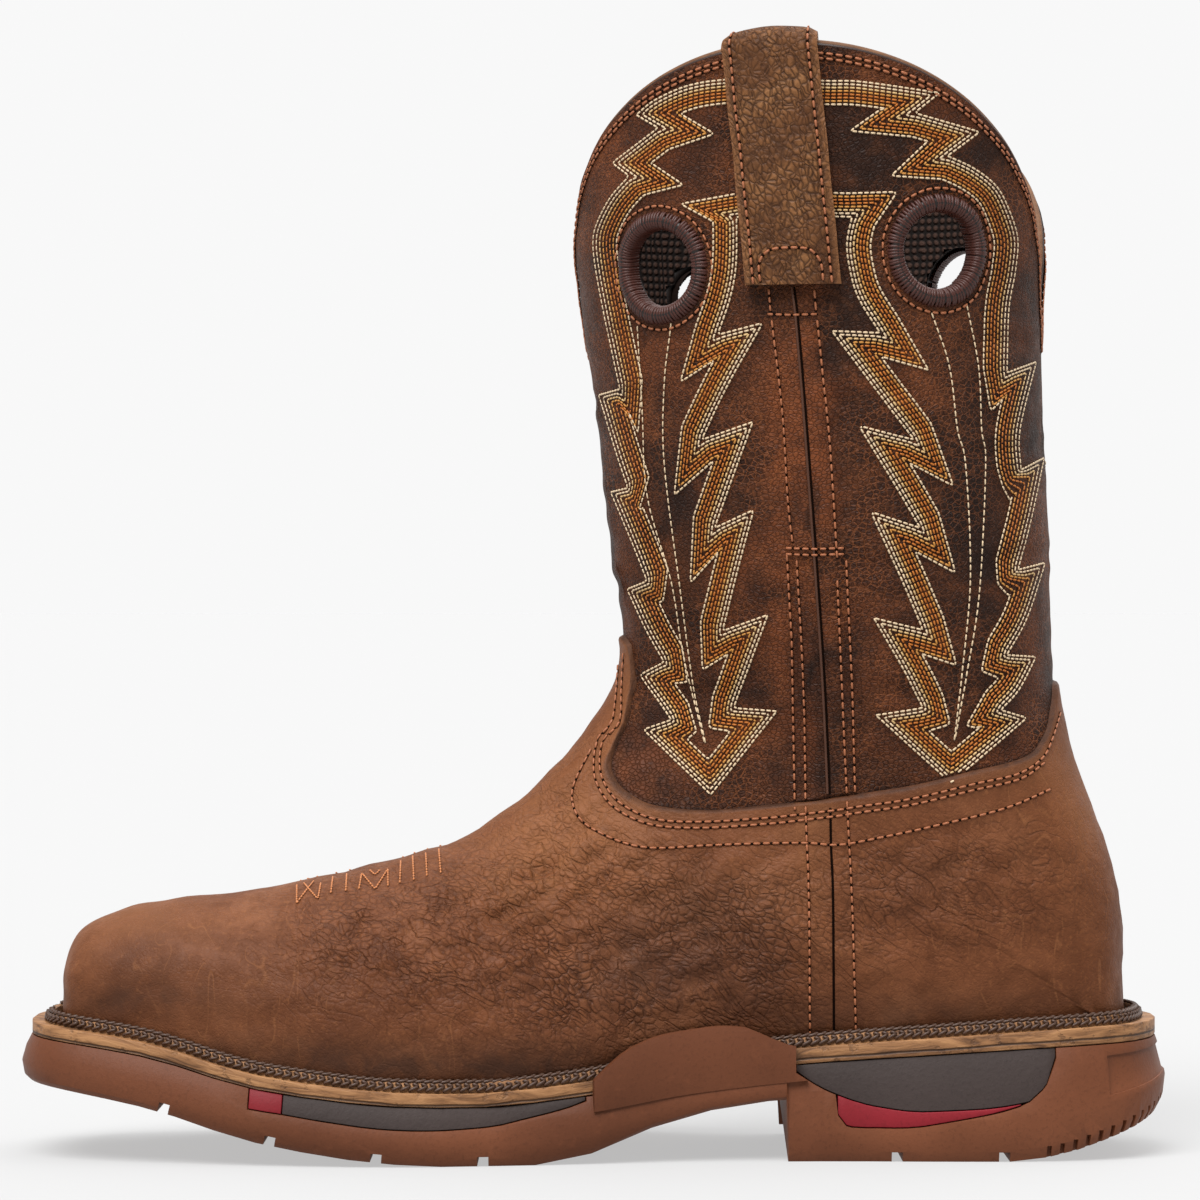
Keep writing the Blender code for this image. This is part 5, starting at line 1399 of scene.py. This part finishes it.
def build_holes():
    """Buttonhole thread round each finger hole, over painted shade: a dark rim and a dark sleeve down into
    the hole.
    """
    nearest = BVHTree.FromPolygons(OUTER.reshape(-1, 3).tolist(), grid_faces(STEP_ROW, ROWS - 1).tolist())
    shade_rims, threads = [], []
    rng = np.random.default_rng(3)
    for centre, normal in HOLES:
        side = np.cross(normal, [0, 0, 1.0])
        side /= np.linalg.norm(side)
        up = np.cross(side, normal)

        def snapped(angle, radius, lift):
            place = centre + side * math.cos(angle) * radius + up * math.sin(angle) * radius
            hit, face_normal, _, _ = nearest.find_nearest(Vector(place))
            out = np.array(face_normal)
            out = out if out @ normal > 0 else -out
            return np.array(hit) + out * lift

        def circle(radius, lift, steps, count):
            return np.array([snapped(2 * math.pi * k / steps, radius, lift) for k in range(count)])

        # A dark rim under the thread and a dark sleeve down into the hole paint the shade in the finger hole.
        shade_rim_line = circle(RIM_PLACE, 0.0, RIM_STEPS, RIM_STEPS)
        shade_rims.append(tube(shade_rim_line, RIM_RADIUS, 8, closed=True, flat=np.tile(normal, (RIM_STEPS, 1))))
        shade_sleeve = [circle(SLEEVE_RADIUS, depth, RIM_STEPS, RIM_STEPS) for depth in SLEEVE_DEPTHS]
        k = np.arange(RIM_STEPS)
        after = (k + 1) % RIM_STEPS
        for over, under in zip(shade_sleeve[:-1], shade_sleeve[1:]):
            shade_rims.append((np.concatenate([over, under]), quads(k, after, RIM_STEPS + after, RIM_STEPS + k)))
        for number in range(HOLE_THREADS):
            angle = 2 * math.pi * (number + 0.25 * rng.uniform(-1, 1)) / HOLE_THREADS
            path = spline_rows([snapped(angle, r, z) for r, z in THREAD_PATH], np.linspace(0, 4.999, 9))
            turned = side * math.sin(angle) - up * math.cos(angle)
            threads.append(tube(path, THREAD_RADIUS, 6, flat=np.tile(turned, (9, 1))))
        ring = circle(STITCH_RING, 0.0, 90, 91)
        stitch_path("brown", ring, np.tile(normal, (len(ring), 1)), *HOLE_STITCH, holes=True)
    dress(new_mesh("hole_shade_sleeves", *join(shade_rims), thread("hole_shade", COLOURS["dark"])), "strap_leather")
    dress(new_mesh("hole_threads", *join(threads), thread("maroon", COLOURS["maroon"])), "strap_leather")


# Pull straps: middle and half width in pixels, the rest in metres or in rows and columns
STRAP_TOP_MIDDLE = 771.0
STRAP_FOOT_MIDDLE = 793.5
STRAP_HALF = 46.5
STRAP_LONGER = 0.0030
STRAP_ARCH = (
    (2.6, 0.3), (2.6, 2.6), (3.2, 4.0), (4.6, 4.9), (9.2, 4.9), (10.9, 4.0), (11.6, 2.6), (11.6, 0.3),
)


def wall_row(field, side, arounds, height):
    """Values of a grid field on one side of the shaft, at places round it and a height."""
    found = []
    for around in arounds:
        c = around / 0.5 * SIDE_COLUMNS
        c = float(c if side == "medial" else COLS - 1 - c)
        found.append(at_grid(field, np.array([row_at_height(c, height)]), np.array([c]))[0])
    return np.array(found)


def strap_arounds(height, count=15):
    """Places round the shaft that the strap covers at a height, leaning as in the picture."""
    share = (ANKLE_HEIGHT + SHAFT_HEIGHT - height) / STRAP_OUTSIDE
    centre = STRAP_TOP_MIDDLE + (STRAP_FOOT_MIDDLE - STRAP_TOP_MIDDLE) * share
    places = AROUND[:SIDE_COLUMNS + 1:4]
    px, _ = picture_place(wall_row(SMOOTH, "medial", places, height))
    order = np.argsort(px)
    low, high = (np.interp(centre + s * STRAP_HALF, px[order], places[order]) for s in (1, -1))
    return np.linspace(low, high, count)


def strap_rows(side):
    """Rows of points on the strap's underside and their normals: outer leg, fold, inner leg."""
    top = ANKLE_HEIGHT + SHAFT_HEIGHT
    rows, normals = [], []
    for height in np.linspace(top - STRAP_OUTSIDE - STRAP_LONGER, top, 34):
        arounds = strap_arounds(height)
        normals.append(wall_row(NORMALS, side, arounds, height))
        rows.append(wall_row(SMOOTH, side, arounds, height) + normals[-1] * STRAP_GAP)
    arounds = strap_arounds(top)
    crest = wall_row(SMOOTH, side, arounds, top)
    out = wall_row(NORMALS, side, arounds, top)
    for angle in np.linspace(0.0, math.pi, 12)[1:-1]:
        turned = out * math.cos(angle) + np.array([0, 0, 1.0]) * math.sin(angle)
        rows.append(crest - out * 0.5 * WALL + turned * (0.5 * WALL + STRAP_GAP))
        normals.append(turned)
    for height in np.linspace(top, top - STRAP_INSIDE, 20):
        up = wall_row(NORMALS, side, arounds, height)
        rows.append(wall_row(SMOOTH, side, arounds, height) - up * (WALL + STRAP_GAP))
        normals.append(-up)
    return np.array(rows), np.array(normals)


def build_straps():
    """Pull straps: a strip folded over the collar, with stitching along its outer leg."""
    leather = strap_leather()
    for side in ("medial", "lateral"):
        rows, normals = strap_rows(side)
        n, m = rows.shape[:2]
        crown = 1.0 - 0.35 * np.abs(np.linspace(-1, 1, m)) ** 8
        outer = with_wave(rows + normals * (STRAP_THICKNESS * crown)[None, :, None])
        points = np.concatenate([outer.reshape(-1, 3), rows.reshape(-1, 3)])
        i, j = np.meshgrid(np.arange(n - 1), np.arange(m - 1), indexing="ij")
        a = (i * m + j).ravel()
        top_faces = quads(a, a + 1, a + m + 1, a + m)
        under = top_faces[:, ::-1] + n * m
        border = [(k, k + 1) for k in range(m - 1)]
        border += [(m - 1 + k * m, m - 1 + (k + 1) * m) for k in range(n - 1)]
        border += [((n - 1) * m + k + 1, (n - 1) * m + k) for k in range(m - 1)]
        border += [((k + 1) * m, k * m) for k in range(n - 1)]
        edge = np.array([(p, q, q + n * m, p + n * m) for p, q in border])
        faces = np.concatenate([top_faces, under, edge])
        body = new_mesh("pull_strap_leather_" + side, points, faces, leather)
        body.data.set_sharp_from_angle(angle=STRAP_SHARP)
        give_attribute(body, "rim", np.tile(np.abs(np.linspace(-1.0, 1.0, m)) > 0.93, 2 * n))
        dress(body, "strap_leather", "pull_strap_" + side)
        for column in (1.35, m - 2.35):
            strap_stitches(outer, normals, [(column, r) for r in range(44)])
        strap_stitches(outer, normals, soft_line(STRAP_ARCH))


def with_wave(outer):
    """A slight wave across the strap, so that it doesn't look machined."""
    n, m = outer.shape[:2]
    i, j = np.meshgrid(np.arange(n), np.arange(m), indexing="ij")
    wave = 0.00018 * np.sin(i * 0.55 + j * 0.3) + 0.00012 * np.sin(i * 0.23 - j * 0.7 + 1.0)
    return outer + wave[:, :, None] * grid_normals(outer) * 0.8


def strap_stitches(outer, normals, places):
    line, up = [], []
    for c, r in places:
        i, j = int(r), int(c)
        line.append(blended(outer, i, j, r - i, c - j))
        up.append(normals[i, j])
    stitch_path("brown", np.array(line), np.array(up), *SEAM_STITCH, holes=True)


# Welt, seams and sole
def sole_path(inset, rise):
    """Points and outward normals right round the welt's ledge, evenly spaced."""
    loops, outs = [], []
    for side in ("medial", "lateral"):
        rows = rim(side, PLACES)
        flat = inset_points(rows, ledge_inset(rows) + inset)
        loop = np.column_stack([flat, welt_top(flat[:, 0]) + rise])
        out = np.column_stack([rows[:, 2:], np.zeros(len(rows))])
        loops.append(loop if side == "medial" else loop[::-1])
        outs.append(out if side == "medial" else out[::-1])
    loop, out = np.vstack(loops), np.vstack(outs)
    lengths = lengths_along(loop)
    places = np.arange(0.0, lengths[-1], BRAID_PITCH)
    return (along_path(places, lengths, loop), along_path(places, lengths, out))


def ledge_inset(rows):
    return np.minimum(welt_edge_inset(rows) + WELT_LEDGE, welt_hole_inset(rows) - WELT_RIB_WIDTH)


def build_braid():
    """A chain of slanting stitches on the welt's rib."""
    for low_in, low_up, high_in, high_up in (
        (-0.0002, 0.0004, 0.0005, 0.85 * WELT_RIB),
        (0.0009, 0.95 * WELT_RIB, 0.0021, WELT_RIB + 0.0003),
    ):
        low, out = sole_path(low_in, low_up)
        mid, _ = sole_path(0.5 * (low_in + high_in), 0.5 * (low_up + high_up) + 0.0003)
        high, _ = sole_path(high_in, high_up)
        n = min(len(low), len(mid), len(high)) - 1
        up = out[:n] * 0.7 + np.array([0.0, 0.0, 0.7])
        add_stitches("braid", low[:n], mid[1:n + 1], up, *BRAID_STITCH)
        add_stitches("braid", mid[1:n + 1], high[:n], up, *BRAID_STITCH)


SEAM_SHADE_STRIP = (0.00068, 0.00008)
LIP_ASIDE = np.array([0.00062, 0.0, 0.0])
LIP_SUNK = 0.0001
LIP_RADIUS = 0.00042


def build_seams():
    """All plain seams, and painted shade in the side seam's gap, with a lip beside it on the shaft."""
    for colour, pitch, line in SEAMS:
        if colour == "rust":
            stitch_pixels(colour, line, MILLIMETRE * pitch, *BUG_SIZE, smooth=False)
        else:
            stitch_pixels(colour, line, MILLIMETRE * pitch, *SEAM_SIZE, smooth=len(line) > 3, holes=True)
    parts, lips = [], []
    for part_r, part_c in runs(*cast_pixels(soft_line(CENTRE_SEAM), 7.0)):
        for rr, cc in both_sides(part_r, part_c):
            points, normals = at_grid(OUTER, rr, cc), at_grid(OUTER_NORMALS, rr, cc)
            normals = unit(normals)
            # A thin dark strip along the seam's centre line: painted shade in its gap.
            parts.append(ribbon(points, normals, *SEAM_SHADE_STRIP))
            if part_r[0] > STEP_ROW:
                beside = points - LIP_ASIDE - normals * LIP_SUNK
                lips.append(tube(beside, LIP_RADIUS, 6, flat=normals))
    gap = Nodes("seam_shade_looks").finish(COLOURS["gap"], 0.9, specular=0.0)
    dress(new_mesh("centre_seam_shade", *join(parts), gap), "foot_leather")
    dress(new_mesh("seam_lips", *join(lips), thread("lip", COLOURS["lip"])), "foot_leather")


def build_stitches():
    for name, groups in STITCHES.items():
        if not groups:
            continue
        parts = []
        for points, faces in groups:
            count, size = points.shape[:2]
            all_faces = faces[None] + (np.arange(count) * size)[:, None, None]
            parts.append((points.reshape(-1, 3), all_faces.reshape(-1, 4)))
        body = new_mesh("stitches_" + name, *join(parts), thread(name, COLOURS[name]))
        dress(body, "strap_leather")


SHARP = math.radians(38)
STRAP_SHARP = math.radians(50)


def carried(node, slot, material, bevel=0.0):
    """A copy of a CAD node with its own looks and slightly softened edges."""
    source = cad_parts[node]
    mesh = source.data.copy()
    mesh.materials.clear()
    mesh.materials.append(material)
    body = bpy.data.objects.new(node + "_looks", mesh)
    bpy.context.scene.collection.objects.link(body)
    weld = body.modifiers.new("weld", "WELD")
    weld.merge_threshold = 1e-6
    if bevel:
        soft = body.modifiers.new("soft", "BEVEL")
        soft.width = bevel
        soft.segments = 2
        soft.limit_method = "ANGLE"
        soft.angle_limit = SHARP
        soft.harden_normals = False
    mesh.shade_smooth()
    mesh.set_sharp_from_angle(angle=SHARP)
    return dress(body, slot, node)


SOLE_EDGE = 0.0003
INSERT_EDGE = 0.0002


def build_sole():
    gum = rubber("gum_looks", (0.152, 0.050, 0.0215), (0.092, 0.0290, 0.0120), 0.52, 0.00010)
    grey = rubber("grey_looks", (0.046, 0.033, 0.030), (0.030, 0.0215, 0.0195), 0.60, 0.00016)
    red = rubber("red_looks", (0.200, 0.0110, 0.0180), (0.140, 0.0085, 0.0120), 0.50)
    carried("outsole", "gum_rubber", gum, SOLE_EDGE)
    welt = carried("welt", "welt_leather", welt_edge(), SOLE_EDGE)
    carried("insole", "insole_foam", edge_leather("insole_looks", (0.05, 0.03, 0.02), (0.08, 0.05, 0.035)))
    spots_on_welt = np.zeros(3 * len(welt.data.vertices))
    welt.data.vertices.foreach_get("co", spots_on_welt)
    spots_on_welt = spots_on_welt.reshape(-1, 3)
    give_attribute(welt, "rise", spots_on_welt[:, 2] - welt_top(spots_on_welt[:, 0]))
    for side in ("medial", "lateral"):
        for part, slot, looks in (("insert_", "grey_insert", grey), ("accent_", "red_accent", red)):
            for place in ("forefoot_", "heel_"):
                carried(place + part + side, slot, looks, INSERT_EDGE)


def build_studio():
    """A white floor that runs to the horizon, a sky brighter overhead, and one wide soft sun."""
    stage = Nodes("floor_looks")
    stage.finish((FLOOR_WHITE, FLOOR_WHITE, FLOOR_WHITE), 0.9, specular=0.0)
    stage.shader.inputs["Emission Color"].default_value = (1.0, 1.0, 1.0, 1.0)
    stage.shader.inputs["Emission Strength"].default_value = FLOOR_GLOW
    corners = [(x * FLOOR_HALF, y * FLOOR_HALF, 0) for x, y in ((-1, -1), (1, -1), (1, 1), (-1, 1))]
    new_mesh("floor", corners, [(0, 1, 2, 3)], stage.material, False)
    world = bpy.data.worlds.new("studio")
    world.use_nodes = True
    bpy.context.scene.world = world
    tree = world.node_tree
    split = tree.nodes.new("ShaderNodeSeparateXYZ")
    tree.links.new(tree.nodes.new("ShaderNodeTexCoord").outputs["Generated"], split.inputs[0])
    ramp = tree.nodes.new("ShaderNodeValToRGB")
    tree.links.new(split.outputs["Z"], ramp.inputs["Fac"])
    elements = ramp.color_ramp.elements
    elements.new(0.35)
    elements.new(0.60)
    for element, (place, level) in zip(elements, ((0.20, 0.47), (0.32, 0.20), (0.62, 0.22), (0.90, 0.85))):
        element.position = place
        element.color = (level, level, level, 1.0)
    background = tree.nodes["Background"]
    tree.links.new(ramp.outputs["Color"], background.inputs["Color"])
    background.inputs["Strength"].default_value = 2.0
    suns = (("key", (-0.35, -0.75, 1.30), 4.0, 40.0), ("back", (0.6, 0.8, 1.0), 1.0, 60.0))
    for name, place, strength, spread in suns:
        lamp = bpy.data.lights.new(name, "SUN")
        lamp.energy = strength
        lamp.angle = math.radians(spread)
        body = bpy.data.objects.new(name, lamp)
        body.location = place
        body.rotation_euler = Vector(place).to_track_quat("Z", "Y").to_euler()
        bpy.context.scene.collection.objects.link(body)


def set_camera():
    view = bpy.data.cameras.new("picture")
    view.lens = LENS
    view.sensor_width = SENSOR
    view.clip_end = 200.0
    body = bpy.data.objects.new("picture", view)
    body.location = CAMERA
    body.rotation_euler = (math.radians(90), 0.0, 0.0)
    bpy.context.scene.collection.objects.link(body)
    bpy.context.scene.camera = body
    bpy.context.scene.view_settings.view_transform = "Standard"


build_sole()
build_upper()
build_collar()
build_holes()
build_straps()
build_braid()
embroider()
build_seams()
build_stitches()
build_studio()
set_camera()
